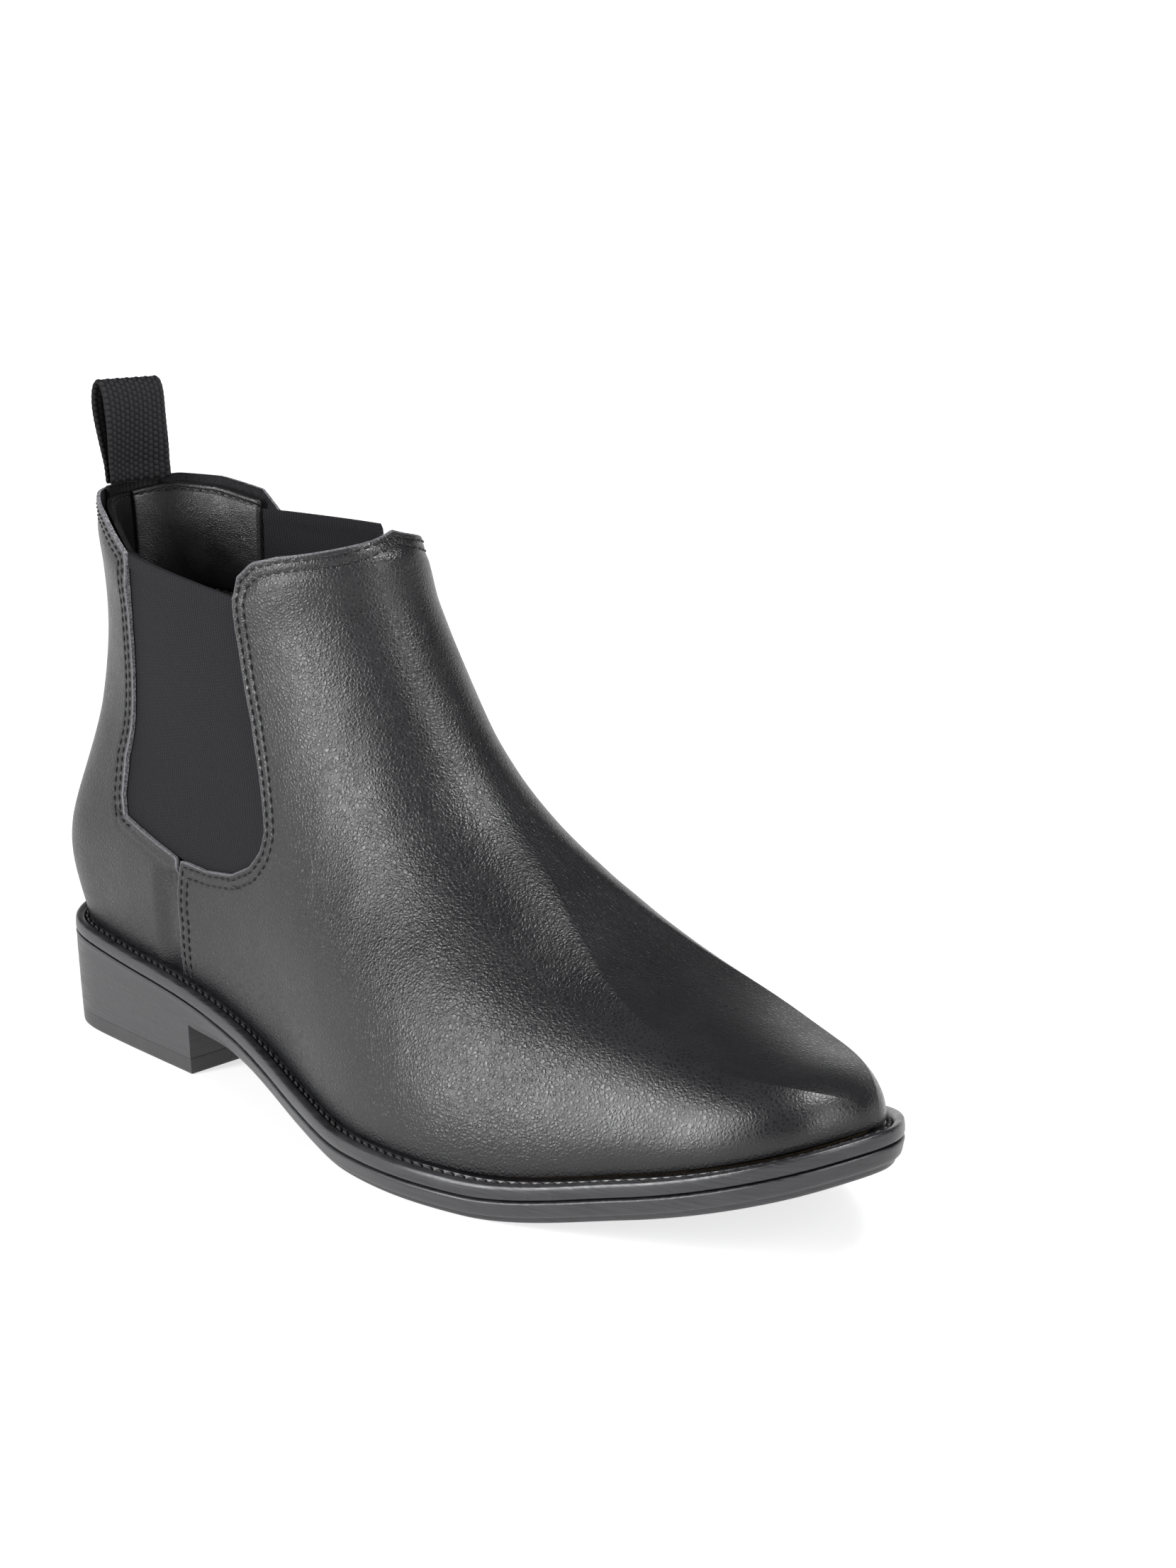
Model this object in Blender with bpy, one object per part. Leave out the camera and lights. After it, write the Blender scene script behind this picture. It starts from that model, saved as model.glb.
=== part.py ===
"""A right-foot chelsea boot, built as the separate pieces that a boot is lasted and sewn from.

Sizes are in millimetres and become metres in add_piece. Design x runs from the back of the heel to
the toe, y points to the inner side of the foot and z is up from the ground.
"""
import math

import bmesh
import bpy
import numpy as np

MM = 0.001

# Driving dimensions of the sole unit
LATERAL_EDGE = [(0, 0), (3.9, -17), (13.8, -28.5), (30, -32.5), (70, -35.3), (99, -38), (128, -44.3),
                (158, -52.5), (187, -55), (212, -50.8), (237, -43.8), (259, -37), (277, -31),
                (289, -23.5), (297, -12), (300.5, 1)]
MEDIAL_EDGE = [(0, 0), (3.9, 17), (13.8, 27.5), (30, 31.5), (70, 31.5), (99, 29.5), (128, 31), (158, 38),
               (187, 45.5), (212, 47.5), (237, 43.5), (257, 37), (274, 29), (287, 20), (296, 10.5),
               (300.5, 1)]
SOLE_LIFT = [(0, 24.8), (40, 20), (72, 16.5), (100, 11.6), (140, 3), (165, 0), (205, 0), (250, 8),
             (300.5, 24)]
SOLE_THICK = 6.2
WELT_LOW = 6.5
WELT_TOP = 10.5
WELT_LIP = 10.2
CHANNEL_FLOOR = 9.2
CHANNEL_OUT, CHANNEL_IN = 3.0, 4.4
WELT_INNER = 13.0
FEATHER_INSET = 4.5
HEEL_BREAST = 77.7
TOP_PIECE = 5.0
GAP = 0.3

# Front ridge and back curve of the upper, in side view, from just above the welt up to the topline
RIDGE = [(294.3, 39), (286, 45.6), (268, 50.6), (245, 56.8), (221.5, 65.5), (195, 79.2), (167, 98.4),
         (148, 123.6), (137.6, 144.4), (132.5, 160.8)]
BACK = [(-0.2, 57), (5.4, 78), (10.7, 105), (11, 132), (9.8, 164)]
BACK_KNOTS = [0, 0.17, 0.33, 0.55, 0.75, 1]
SHAFT_LATERAL, SHAFT_MEDIAL = 29.2, 28.3
SHAFT_POWER = 2.3
TOE_POWER, INSTEP_POWER = 2.03, 1.6
SIDE_BULGE, HEEL_BULGE = 0.2, 0.085
RIDGE_SHIFT = 3.6

# Panel edges on the upper, as (x, share of the height from welt to topline)
SEAM_X, SEAM_TOP = 70.2, 0.277
UNDER_TOP, UNDER_END = 0.2, 0.22
GUSSET_REAR = [(45.5, 0.315), (43.5, 0.36), (42.8, 0.45), (44.6, 0.6), (45.2, 0.75), (46.5, 0.894)]
GUSSET_FRONT = [(86, 0.283), (97, 0.306), (105.5, 0.35), (110, 0.4), (111.4, 0.45), (109.4, 0.53),
                (106.7, 0.61), (103.8, 0.68), (100.2, 0.75), (97.8, 0.82), (96.7, 0.88)]
VAMP_TOP = [(98.2, 0.915), (103.2, 0.941), (111, 0.954), (124, 0.969)]
FRONT_TIP = 0.995
QUARTER_TOP_LATERAL = [(42.5, 0.909), (31, 0.954), (17.7, 0.982)]
QUARTER_TOP_MEDIAL = [(18, 1.008), (30.5, 1.004), (45, 0.985), (51, 0.95)]
BACK_TOP = 0.986

# Layers, as depths below the outer face of the upper
LEATHER = 1.3
UNDER = 1.6
UNDER_IN = 2.9
LINING = 3.5
LINING_IN = 4.3
PUFF = 1.8
OVERLAP = 8.0

# Insole stack, above the underside of the outsole
BOARD = (10.5, 12.5)
CUSHION = 2.4
SOCK = 1.8
INSOLE_INSET = 9.2
SHANK_X = (38, 138)
SHANK_WIDTH, SHANK_THICK = 14.0, 1.2
RIVET_X = (52, 112)
RIVET_RADIUS, RIVET_HEAD = 2.0, 2.8
NAIL_RADIUS, NAIL_HEAD = 1.1, 2.6
NAIL_DEPTH = 12.0
NAILS = [(16, 0), (30, -16), (30, 16), (58, -15), (58, 15)]

# Pull loop
LOOP_WIDTH, WEBBING = 21.6, 1.5
LOOP_ROOT = (14.6, 163.8)
LOOP_TOP = 194.0
LOOP_SWELL, LOOP_BOW = 5.2, 0.024
ROOT_SLOPE = 0.3
TAIL_DROP, TAIL_TOP = 22.0, 0.977

HALF_N = 30
THREAD_SIDES = 4
CENTRE = (150.25, -3.75)


def smooth(x):
    x = np.clip(x, 0, 1)
    return x * x * (3 - 2 * x)


def monotone(x, points):
    """A curve through (x, y) points that never overshoots them."""
    xs, ys = np.array(points, float).T
    h = np.diff(xs)
    m = np.diff(ys) / h
    d = np.concatenate([[m[0]], np.zeros(len(m) - 1), [m[-1]]])
    for i in range(1, len(m)):
        if m[i - 1] * m[i] > 0:
            a, b = 2 * h[i] + h[i - 1], h[i] + 2 * h[i - 1]
            d[i] = (a + b) / (a / m[i - 1] + b / m[i])
    i = np.clip(np.searchsorted(xs, x) - 1, 0, len(h) - 1)
    s = np.clip((x - xs[i]) / h[i], 0, 1)
    rise = s * s * (3 - 2 * s)
    tangents = s * (1 - s) ** 2 * d[i] - s * s * (1 - s) * d[i + 1]
    return ys[i] + (ys[i + 1] - ys[i]) * rise + tangents * h[i]


def spline(t, knots, points):
    """A natural cubic spline through the points at their knots."""
    knots, points = np.array(knots, float), np.array(points, float)
    n, h = len(knots), np.diff(knots)
    matrix, right = np.eye(n), np.zeros_like(points)
    for i in range(1, n - 1):
        matrix[i, i - 1:i + 2] = h[i - 1], 2 * (h[i - 1] + h[i]), h[i]
        right[i] = 6 * ((points[i + 1] - points[i]) / h[i] - (points[i] - points[i - 1]) / h[i - 1])
    bend = np.linalg.solve(matrix, right)
    t = np.asarray(t, float)
    i = np.clip(np.searchsorted(knots, t) - 1, 0, n - 2)
    a, b, w = ((knots[i + 1] - t) / h[i])[..., None], ((t - knots[i]) / h[i])[..., None], h[i][..., None]
    return a * points[i] + b * points[i + 1] + ((a**3 - a) * bend[i] + (b**3 - b) * bend[i + 1]) * w * w / 6


def arc_knots(points):
    steps = np.hypot(*np.diff(np.array(points, float), axis=0).T)
    lengths = np.concatenate([[0], np.cumsum(steps)])
    return lengths / lengths[-1]


def edge_curve(inset):
    """The sole's outline, moved inwards: (lateral, medial) halves as points from back to toe."""
    loop = np.array(LATERAL_EDGE + MEDIAL_EDGE[-2:0:-1], float)
    turns = 3
    wound = np.vstack([loop[-turns:], loop, loop[:turns + 1]])
    steps = np.concatenate([[0], np.cumsum(np.hypot(*np.diff(wound, axis=0).T))])
    t = np.linspace(steps[turns], steps[turns + len(loop)], 961)[:-1]
    curve = spline(t, steps, wound)
    along = np.roll(curve, -1, 0) - np.roll(curve, 1, 0)
    inward = np.stack([-along[:, 1], along[:, 0]], 1) / np.hypot(*along.T)[:, None]
    curve = curve + inward * inset
    curve = np.roll(curve, -curve[:, 0].argmin(), 0)
    toe = curve[:, 0].argmax()
    return curve[:toe + 1], np.vstack([curve[toe:], curve[:1]])[::-1]


def rim(inset, x_end=None, n=HALF_N):
    """Points round the outline: down the lateral half to the toe, or to x_end, and back up the medial."""
    lateral, medial = edge_curve(inset)
    k = np.arange(n + 1) / n
    start, toe = lateral[0, 0], lateral[-1, 0]
    if x_end is None:
        x = start + (toe - start) * (1 - np.cos(np.pi * k)) / 2
    else:
        x = start + (x_end - start) * (1 - np.cos(np.pi * k / 2))
    out = np.stack([x, np.interp(x, *lateral.T)], 1)
    back = np.stack([x, np.interp(x, *medial.T)], 1)
    return np.vstack([out, back[::-1]])


def sole_bottom(x):
    return monotone(np.asarray(x, float), SOLE_LIFT)


def feather(x):
    return sole_bottom(x) + WELT_TOP


class Upper:
    """The outer face of the upper. a runs from the back (0) down the lateral side to the front ridge
    (1) and back along the medial side (2, which is also 0); t runs from the welt (0) to the topline (1).
    """

    def __init__(self):
        self.lateral, self.medial = edge_curve(FEATHER_INSET)
        self.x0, self.x1 = self.lateral[0, 0], self.lateral[-1, 0]
        self.toe_y = self.lateral[-1, 1]
        self.low_back, self.low_front = float(feather(self.x0)), float(feather(self.x1))
        self.ridge_points = [(self.x1, self.low_front)] + RIDGE
        self.back_points = [(self.x0, self.low_back)] + BACK
        self.ridge_knots = arc_knots(self.ridge_points)
        self.ridge = spline(np.linspace(0, 1, 400), self.ridge_knots, self.ridge_points)[::-1]

    def middle(self, x):
        return self.toe_y * smooth((x - 190) / (self.x1 - 190))

    def ends(self, t):
        front = spline(t, self.ridge_knots, self.ridge_points)
        back = spline(t, BACK_KNOTS, self.back_points)
        return back[..., 0], back[..., 1], front[..., 0], front[..., 1]

    def a_of(self, x, t, side=1):
        """Where a ring reaches x, on the lateral side (1) or the medial side (-1)."""
        back_x, _, front_x, _ = self.ends(np.asarray(t, float))
        share = np.clip((x - back_x) / (front_x - back_x), 0, 1)
        return side * np.arccos(1 - 2 * share) / np.pi

    def foot_width(self, x, z, back_x, side):
        x_low = np.clip(x + (self.x0 - back_x) * (1 - smooth(x / 120)), self.x0, self.x1)
        across = np.where(side > 0, np.interp(x_low, *self.lateral.T), np.interp(x_low, *self.medial.T))
        top = np.interp(x, *self.ridge.T) + np.clip(self.ridge[0, 0] - x, 0, None) * 3.0
        low = feather(x)
        rise = np.clip((z - low) / np.maximum(top - low, 0.01), 0, 1)
        power = TOE_POWER + (INSTEP_POWER - TOE_POWER) * smooth((270 - x) / 100)
        section = np.sqrt(np.clip(1 - np.maximum(rise, 1e-9) ** power, 0, 1))
        section = section * (1 + SIDE_BULGE * rise * (1 - rise) * np.exp(-2 * rise))
        heel = 1 + HEEL_BULGE * np.sin(np.pi * np.clip((z - low) / 66, 0, 1)) * (1 - smooth((x - 60) / 60))
        shift = RIDGE_SHIFT * rise**2 * np.sin(np.pi * np.clip((x - 110) / 190, 0, 1))
        return np.abs(across - self.middle(x_low)) * section * heel, shift

    def face(self, a, t):
        a = np.mod(np.asarray(a, float), 2)
        t = np.asarray(t, float)
        side = np.where(a <= 1, 1, -1)
        s = np.where(a <= 1, a, 2 - a)
        back_x, back_z, front_x, front_z = self.ends(t)
        share = (1 - np.cos(np.pi * s)) / 2
        x = back_x + (front_x - back_x) * share
        base = self.low_back + (self.low_front - self.low_back) * (x - self.x0) / (self.x1 - self.x0)
        z = back_z + (front_z - back_z) * share + (feather(x) - base) * np.clip(1 - t, 0, 1) ** 2.2
        foot, shift = self.foot_width(x, z, back_x, side)
        half = np.where(side > 0, SHAFT_LATERAL, SHAFT_MEDIAL)
        shaft = half * np.sqrt(np.clip(1 - np.abs(2 * share - 1) ** SHAFT_POWER, 0, 1))
        blend = smooth((t - 0.22) / 0.58)
        width = foot * (1 - blend) + shaft * blend
        return np.stack([x, self.middle(x) + shift - side * width, z], -1)

    def point(self, a, t, depth=0.0):
        """The outer face moved inwards by depth, square to the face."""
        a, t, depth = np.broadcast_arrays(np.asarray(a, float), np.asarray(t, float), depth)
        step = 0.004
        round_way = self.face(a + step, t) - self.face(a - step, t)
        up_way = self.face(a, np.minimum(t + step, 1.02)) - self.face(a, np.maximum(t - step, 0))
        normal = np.cross(round_way, up_way)
        normal = normal / np.linalg.norm(normal, axis=-1, keepdims=True)
        return self.face(a, t) - normal * depth[..., None]


UPPER = Upper()


def clear_scene():
    for obj in list(bpy.data.objects):
        bpy.data.objects.remove(obj, do_unlink=True)


def material(name, colour, roughness, metallic=0.0):
    mat = bpy.data.materials.new(name)
    mat.use_nodes = True
    shader = mat.node_tree.nodes["Principled BSDF"]
    shader.inputs["Base Color"].default_value = (*colour, 1)
    shader.inputs["Roughness"].default_value = roughness
    shader.inputs["Metallic"].default_value = metallic
    mat.diffuse_color = (*colour, 1)
    return mat


def add_piece(name, points, faces, mat, origin=(0, 0, 0)):
    """One closed mesh from design points in millimetres, with its origin where the piece turns."""
    points = np.array(points, float) - np.array([CENTRE[0], CENTRE[1], 0]) - np.array(origin)
    mesh = bpy.data.meshes.new(name)
    mesh.from_pydata((points * MM).tolist(), [], [list(f) for f in faces])
    obj = bpy.data.objects.new(name, mesh)
    bpy.context.scene.collection.objects.link(obj)
    obj.location = np.array(origin) * MM
    tidy_mesh(mesh)
    mesh.materials.append(mat)
    mesh.shade_smooth()
    mesh.set_sharp_from_angle(angle=math.radians(40))
    return obj


def tidy_mesh(mesh):
    bm = bmesh.new()
    bm.from_mesh(mesh)
    bmesh.ops.remove_doubles(bm, verts=bm.verts, dist=2e-6)
    bmesh.ops.recalc_face_normals(bm, faces=bm.faces)
    bm.to_mesh(mesh)
    bm.free()


def grid_faces(rows, cols, first=0, wrap=False):
    """Quads over a grid of points numbered row by row; wrap joins the last column to the first."""
    faces = []
    for r in range(rows - 1):
        for c in range(cols if wrap else cols - 1):
            d = (c + 1) % cols
            faces.append((first + r * cols + c, first + r * cols + d,
                          first + (r + 1) * cols + d, first + (r + 1) * cols + c))
    return faces


def slab(name, outer, inner, mat):
    """A closed sheet between two grids of points of the same shape."""
    rows, cols = outer.shape[:2]
    count = rows * cols
    faces = grid_faces(rows, cols) + [f[::-1] for f in grid_faces(rows, cols, count)]
    border = ([c for c in range(cols)] + [r * cols + cols - 1 for r in range(1, rows)]
              + [(rows - 1) * cols + c for c in range(cols - 2, -1, -1)]
              + [r * cols for r in range(rows - 2, 0, -1)])
    for i, j in zip(border, border[1:] + border[:1]):
        faces.append((j, i, i + count, j + count))
    return add_piece(name, np.vstack([outer.reshape(-1, 3), inner.reshape(-1, 3)]), faces, mat)


def stack(name, rings, mat):
    """A closed body through rings of points that all run round the outline; pairs across it make caps."""
    cols = len(rings[0])
    faces = grid_faces(len(rings), cols, wrap=True)
    for first, flip in ((0, 1), ((len(rings) - 1) * cols, -1)):
        for i in range(cols // 2 - 1):
            quad = (first + i, first + i + 1, first + cols - 2 - i, first + cols - 1 - i)
            faces.append(quad[::-flip])
    return add_piece(name, np.vstack(rings), faces, mat)


def ring_at(inset, height, x_end=None):
    """One ring of the outline; height is a number above the outsole's underside, or a function of x."""
    flat = rim(inset, x_end)
    z = height(flat[:, 0]) if callable(height) else sole_bottom(flat[:, 0]) + height
    return np.column_stack([flat, z])


def patch(left, right, bottom, top, rows, cols):
    """A grid of (a, t) values filling four edges of (a, t) points.

    rows is a list with the number of steps on each segment of the left and right edges, so that both
    keep their corners.
    """
    down_left, down_right = stops(left, rows), stops(right, rows)
    across = np.linspace(0, 1, cols)
    lf, rt = along(left, down_left)[:, None], along(right, down_right)[:, None]
    bt, tp = along(bottom, across)[None], along(top, across)[None]
    r, c = (down_left + down_right)[:, None, None] / 2, across[None, :, None]
    corners = (1 - r) * ((1 - c) * lf[0] + c * rt[0]) + r * ((1 - c) * lf[-1] + c * rt[-1])
    return (1 - c) * lf + c * rt + (1 - r) * bt + r * tp - corners


def stops(edge, steps):
    """Shares of a polyline's length at its corners and at even steps between them."""
    lengths = arc_knots(edge)
    inner = [np.linspace(lengths[i], lengths[i + 1], n + 1)[1:] for i, n in enumerate(steps)]
    return np.concatenate([[0.0], *inner])


def along(edge, shares):
    """Points at the given shares of a polyline's length."""
    edge = np.array(edge, float)
    lengths = arc_knots(edge)
    return np.stack([np.interp(shares, lengths, edge[:, k]) for k in (0, 1)], 1)


def on_side(points, side, shift=0.0):
    """Panel points (x, t) as (a, t) on one side of the boot."""
    return [(float(UPPER.a_of(x + shift, t, side)), t) for x, t in points]


def panel(name, grid, depth_out, depth_in, mat):
    a, t = grid[..., 0], grid[..., 1]
    return slab(name, UPPER.point(a, t, depth_out), UPPER.point(a, t, depth_in), mat)


def vamp_edge(side, shift=0.0, low=0.0):
    """The vamp's rear edge on one side: the side seam, then round the gusset to the top corner."""
    seam = [(SEAM_X, low), (SEAM_X + 0.6, 0.04), (SEAM_X + 2, 0.12), (SEAM_X + 4, SEAM_TOP)]
    return on_side(seam + GUSSET_FRONT + VAMP_TOP[:1], side, shift)


def front_grid(rows, cols, shift=0.0, low=0.0, drop=0.0):
    left = vamp_edge(1, shift, low)
    right = [(2 + a, t) for a, t in vamp_edge(-1, shift, low)]
    half_top = [(a, t - drop) for a, t in on_side(VAMP_TOP, 1, shift)]
    left[-1] = half_top[0]
    other = [(2 - a, t) for a, t in half_top[::-1]]
    right[-1] = other[-1]
    top = half_top + [(1.0, FRONT_TIP - drop)] + other
    bottom = [left[0], (1.0, low), right[0]]
    return patch(left, right, bottom, top, rows, cols)


def quarter_edge(side, reach, low=0.0):
    """The back quarter's front edge: under the vamp at the seam, then up the rear of the gusset."""
    under = [(SEAM_X + reach, low), (SEAM_X + 3.5 + reach, UNDER_TOP), (SEAM_X + 2.2, UNDER_END),
             (SEAM_X + 2, SEAM_TOP)]
    return on_side(under + GUSSET_REAR, side)


def quarter_grid(rows, cols, reach=OVERLAP, low=0.0):
    left = [(-abs(a), t) for a, t in quarter_edge(-1, reach, low)]
    right = quarter_edge(1, reach, low)
    medial_top = [(-abs(a), t) for a, t in on_side(QUARTER_TOP_MEDIAL[::-1], -1)]
    left[-1] = (float(-abs(UPPER.a_of(52, 0.944))), 0.944)
    top = [left[-1]] + medial_top + [(0, BACK_TOP)] + on_side(QUARTER_TOP_LATERAL[::-1], 1) + [right[-1]]
    bottom = [left[0], (0, low), right[0]]
    return patch(left, right, bottom, top, rows, cols)


def quarter_depth(grid):
    """How far the back quarter dips to pass under the vamp's seam edge."""
    a, t = grid[..., 0], grid[..., 1]
    x = UPPER.face(a, t)[..., 0]
    seam = SEAM_X + 4 * np.clip(t / SEAM_TOP, 0, 1)
    return (UNDER + 0.2) * smooth((x - seam + 13) / 8) * smooth((UNDER_END + 0.035 - t) / 0.03)


def gore_grid(side, cols):
    """An elastic gusset, with a margin under the leather on three sides."""
    rear = [(x - 7, t) for x, t in GUSSET_REAR]
    rear[0] = (40, 0.3)
    front = [(x + 7, t) for x, t in GUSSET_FRONT[3:8] + GUSSET_FRONT[-1:]]
    left, right = on_side(rear, 1), on_side(front, 1)
    bottom = on_side([(40, 0.3), (60, 0.288), (80, 0.272), (98, 0.28), (110, 0.315), (117, 0.4)], 1)
    lift = 0 if side > 0 else 1
    top = [(left[-1][0], 0.894 + 0.05 * lift), (right[-1][0], 0.876 + 0.09 * lift)]
    left[-1], right[-1] = top
    right[0] = bottom[-1]
    left[0] = bottom[0]
    grid = patch(left, right, bottom, top, [2] * 5, cols)
    if side < 0:
        grid[..., 0] *= -1
        grid = grid[:, ::-1]
    return grid


def make_upper(mats):
    grid = front_grid([2, 3, 4] + [1] * 6 + [1, 1, 1, 1, 1, 1], 33, low=0.004)
    panel("vamp", grid, 0, LEATHER, mats["leather"])
    grid = quarter_grid([3, 1, 1, 2, 1, 2, 3, 2, 2], 23, low=0.004)
    dip = quarter_depth(grid)
    panel("back_quarter", grid, dip, dip + LEATHER, mats["leather"])
    for side, name in ((1, "gore_lateral"), (-1, "gore_medial")):
        panel(name, gore_grid(side, 9), UNDER, UNDER_IN - 0.1, mats["elastic"])


def toe_grid(x_back, low, rows, cols):
    """Rings round the toe from x_back forwards, up to where the ridge is just ahead of x_back."""
    t = np.linspace(low, 1, 400)
    top = t[UPPER.ends(t)[2] > x_back + 9].max()
    t = np.linspace(low, top, rows)
    a = UPPER.a_of(np.full(rows, float(x_back)), t)
    c = np.linspace(-1, 1, cols)[None]
    grid_a = 1 + c * (1 - a[:, None])
    return np.stack([grid_a, np.broadcast_to(t[:, None], grid_a.shape)], -1)


def back_grid(x_front, low, high, rows, cols, start=None):
    """Rings round the heel, or on one side of it from start, up to x_front."""
    t = np.linspace(low, high, rows)
    a = UPPER.a_of(np.full(rows, float(x_front)), t)[:, None]
    c = np.linspace(-1, 1, cols)[None] if start is None else np.linspace(0, 1, cols)[None]
    grid_a = c * a if start is None else start + c * (a - start)
    return np.stack([grid_a, np.broadcast_to(t[:, None], grid_a.shape)], -1)


def mirrored(grid):
    return np.stack([-grid[..., 0], grid[..., 1]], -1)[:, ::-1]


def make_linings(mats):
    panel("toe_puff", toe_grid(226, 0.03, 8, 21), UNDER + 0.3, UNDER_IN - 0.3, mats["stiffener"])
    panel("heel_counter", back_grid(51, 0.03, 0.25, 5, 17), UNDER + 0.1, UNDER_IN + 0.1, mats["stiffener"])
    grid = front_grid([1, 1, 2] + [1] * 12, 19, shift=1.5, low=0.03, drop=0.015)
    panel("vamp_lining", grid, LINING, LINING_IN, mats["textile"])
    panel("heel_lining", back_grid(52, 0.03, 0.74, 9, 13), LINING, LINING_IN, mats["textile"])
    make_collar(mats)


def make_collar(mats):
    """Padded collar halves that meet at the centre back, each over its own foam pad."""
    puffed = back_grid(46, 0.76, 0.885, 7, 9, start=0.012)
    puffed[..., 1] += 0.075 * (1 - puffed[..., 0] / 0.36) * np.linspace(0, 1, 7)[:, None]
    foam = back_grid(35, 0.785, 0.865, 5, 7, start=0.17)
    foam[..., 1] += 0.03 * (1 - foam[..., 0] / 0.36) * np.linspace(0, 1, 5)[:, None]
    for suffix, flip in (("lateral", False), ("medial", True)):
        lining_grid = mirrored(puffed) if flip else puffed
        foam_grid = mirrored(foam) if flip else foam
        puff = PUFF * swell(lining_grid.shape)
        panel("collar_lining_" + suffix, lining_grid, LINING + puff, LINING_IN + puff, mats["lining"])
        foam_puff = PUFF * 0.8 * swell(foam_grid.shape)
        panel("collar_padding_" + suffix, foam_grid, UNDER, UNDER_IN + foam_puff, mats["foam"])


def swell(shape):
    r = np.sin(np.pi * np.linspace(0, 1, shape[0]))[:, None]
    c = np.sin(np.pi * np.linspace(0, 1, shape[1]))[None]
    return np.sqrt(r * c)


def tread_ring(inset, height):
    """A ring of the outsole, whose edge steps in under the forepart and stays flush over the heel."""
    stepped, flush = ring_at(inset, height), ring_at(min(inset, 0.2), height)
    share = smooth((stepped[:, :1] - HEEL_BREAST - 2) / 18)
    return flush + (stepped - flush) * share


def make_sole(mats):
    sides = [(2.6, 0), (1.7, 0.5), (1.5, 1.8), (0.6, 2.0), (0.2, 3.2), (0, 5.6), (0.3, SOLE_THICK)]
    stack("outsole", [tread_ring(i, h) for i, h in sides], mats["rubber"])
    profile = [(0.6, WELT_LOW), (0, WELT_LOW + 0.5), (0.1, WELT_TOP - 0.9), (0.8, WELT_TOP),
               (2.4, WELT_TOP), (CHANNEL_OUT, CHANNEL_FLOOR), (CHANNEL_IN, CHANNEL_FLOOR),
               (CHANNEL_IN + 0.3, WELT_LIP), (WELT_INNER, WELT_LIP), (WELT_INNER, WELT_LOW)]
    torus("welt", [ring_at(i, h) for i, h in profile], mats["welt"])
    middle = (CHANNEL_OUT + CHANNEL_IN) / 2
    bead = []
    for k in range(THREAD_SIDES):
        angle = 2 * math.pi * (k + 0.5) / THREAD_SIDES
        bead.append(ring_at(middle + 0.3 * math.cos(angle), CHANNEL_FLOOR + 0.65 - 0.35 * math.sin(angle)))
    torus("welt_thread", bead, mats["thread"])


def torus(name, rings, mat):
    """A closed hoop through rings that come back to the first."""
    rows, cols = len(rings), len(rings[0])
    faces = grid_faces(rows, cols, wrap=True)
    last = (rows - 1) * cols
    for c in range(cols):
        d = (c + 1) % cols
        faces.append((last + c, last + d, d, c))
    return add_piece(name, np.vstack(rings), faces, mat)


def make_heel(mats):
    def top(x):
        return sole_bottom(x) - GAP

    rings = [ring_at(0.8, lambda x: 0 * x + TOP_PIECE + GAP, HEEL_BREAST - 0.4),
             ring_at(0.5, lambda x: TOP_PIECE + GAP + (top(x) - TOP_PIECE) * 0.5, HEEL_BREAST - 0.2),
             ring_at(0.2, top, HEEL_BREAST)]
    block = stack("heel_block", rings, mats["heel"])
    low = [ring_at(1.6, lambda x: 0 * x, HEEL_BREAST - 1.0),
           ring_at(1.0, lambda x: 0 * x + 0.6, HEEL_BREAST - 0.5),
           ring_at(0.8, lambda x: 0 * x + TOP_PIECE, HEEL_BREAST - 0.4)]
    stack("heel_top_piece", low, mats["rubber"])
    return block


def strip(name, x_range, half_width, low, high, mat, n=14):
    """A bent strip that follows the underside of the foot, between two heights above the outsole."""
    x = np.linspace(*x_range, n)
    end = np.clip(np.minimum(x - x_range[0], x_range[1] - x) / half_width, 0, 1)
    w = half_width * np.sqrt(1 - (1 - end) ** 2 * 0.6)
    base = sole_bottom(x)
    rows = [np.column_stack([x, side * w, base + h]) for h in (low, high) for side in (-1, 1)]
    grid = np.stack([rows[0], rows[1], rows[3], rows[2]], 1)
    faces = grid_faces(n, 4, wrap=True) + [(0, 1, 2, 3), tuple(range(4 * n - 1, 4 * n - 5, -1))]
    return add_piece(name, grid.reshape(-1, 3), faces, mat)


def make_insole(mats):
    board = stack("insole_board", [ring_at(INSOLE_INSET, h) for h in BOARD], mats["board"])
    filler_end = [ring_between(WELT_INNER + GAP, h, 146, 284) for h in (WELT_LOW, WELT_LIP)]
    stack("bottom_filler", filler_end, mats["cork"])
    under = WELT_LIP - SHANK_THICK
    shank = strip("shank", SHANK_X, SHANK_WIDTH / 2, under, WELT_LIP, mats["steel"])
    raised = lambda x: sole_bottom(x) + BOARD[1] + GAP + (CUSHION + GAP) * (1 - smooth((x - 76) / 18))
    stack("sock_liner", [ring_at(INSOLE_INSET + 3.0, raised),
                         ring_at(INSOLE_INSET + 3.2, lambda x: raised(x) + SOCK)], mats["sock"])
    pad = [ring_at(INSOLE_INSET + 5, BOARD[1] + GAP, 74), ring_at(INSOLE_INSET + 6, BOARD[1] + GAP + CUSHION, 74)]
    stack("heel_cushion", pad, mats["foam"])
    return board, shank


def ring_between(inset, height, x_start, x_end):
    """A ring of the outline cut off square at both ends."""
    lateral, medial = edge_curve(inset)
    x = np.linspace(x_start, x_end, HALF_N // 2)
    out = np.stack([x, np.interp(x, *lateral.T)], 1)
    back = np.stack([x, np.interp(x, *medial.T)], 1)
    flat = np.vstack([out, back[::-1]])
    return np.column_stack([flat, sole_bottom(flat[:, 0]) + height])


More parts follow.
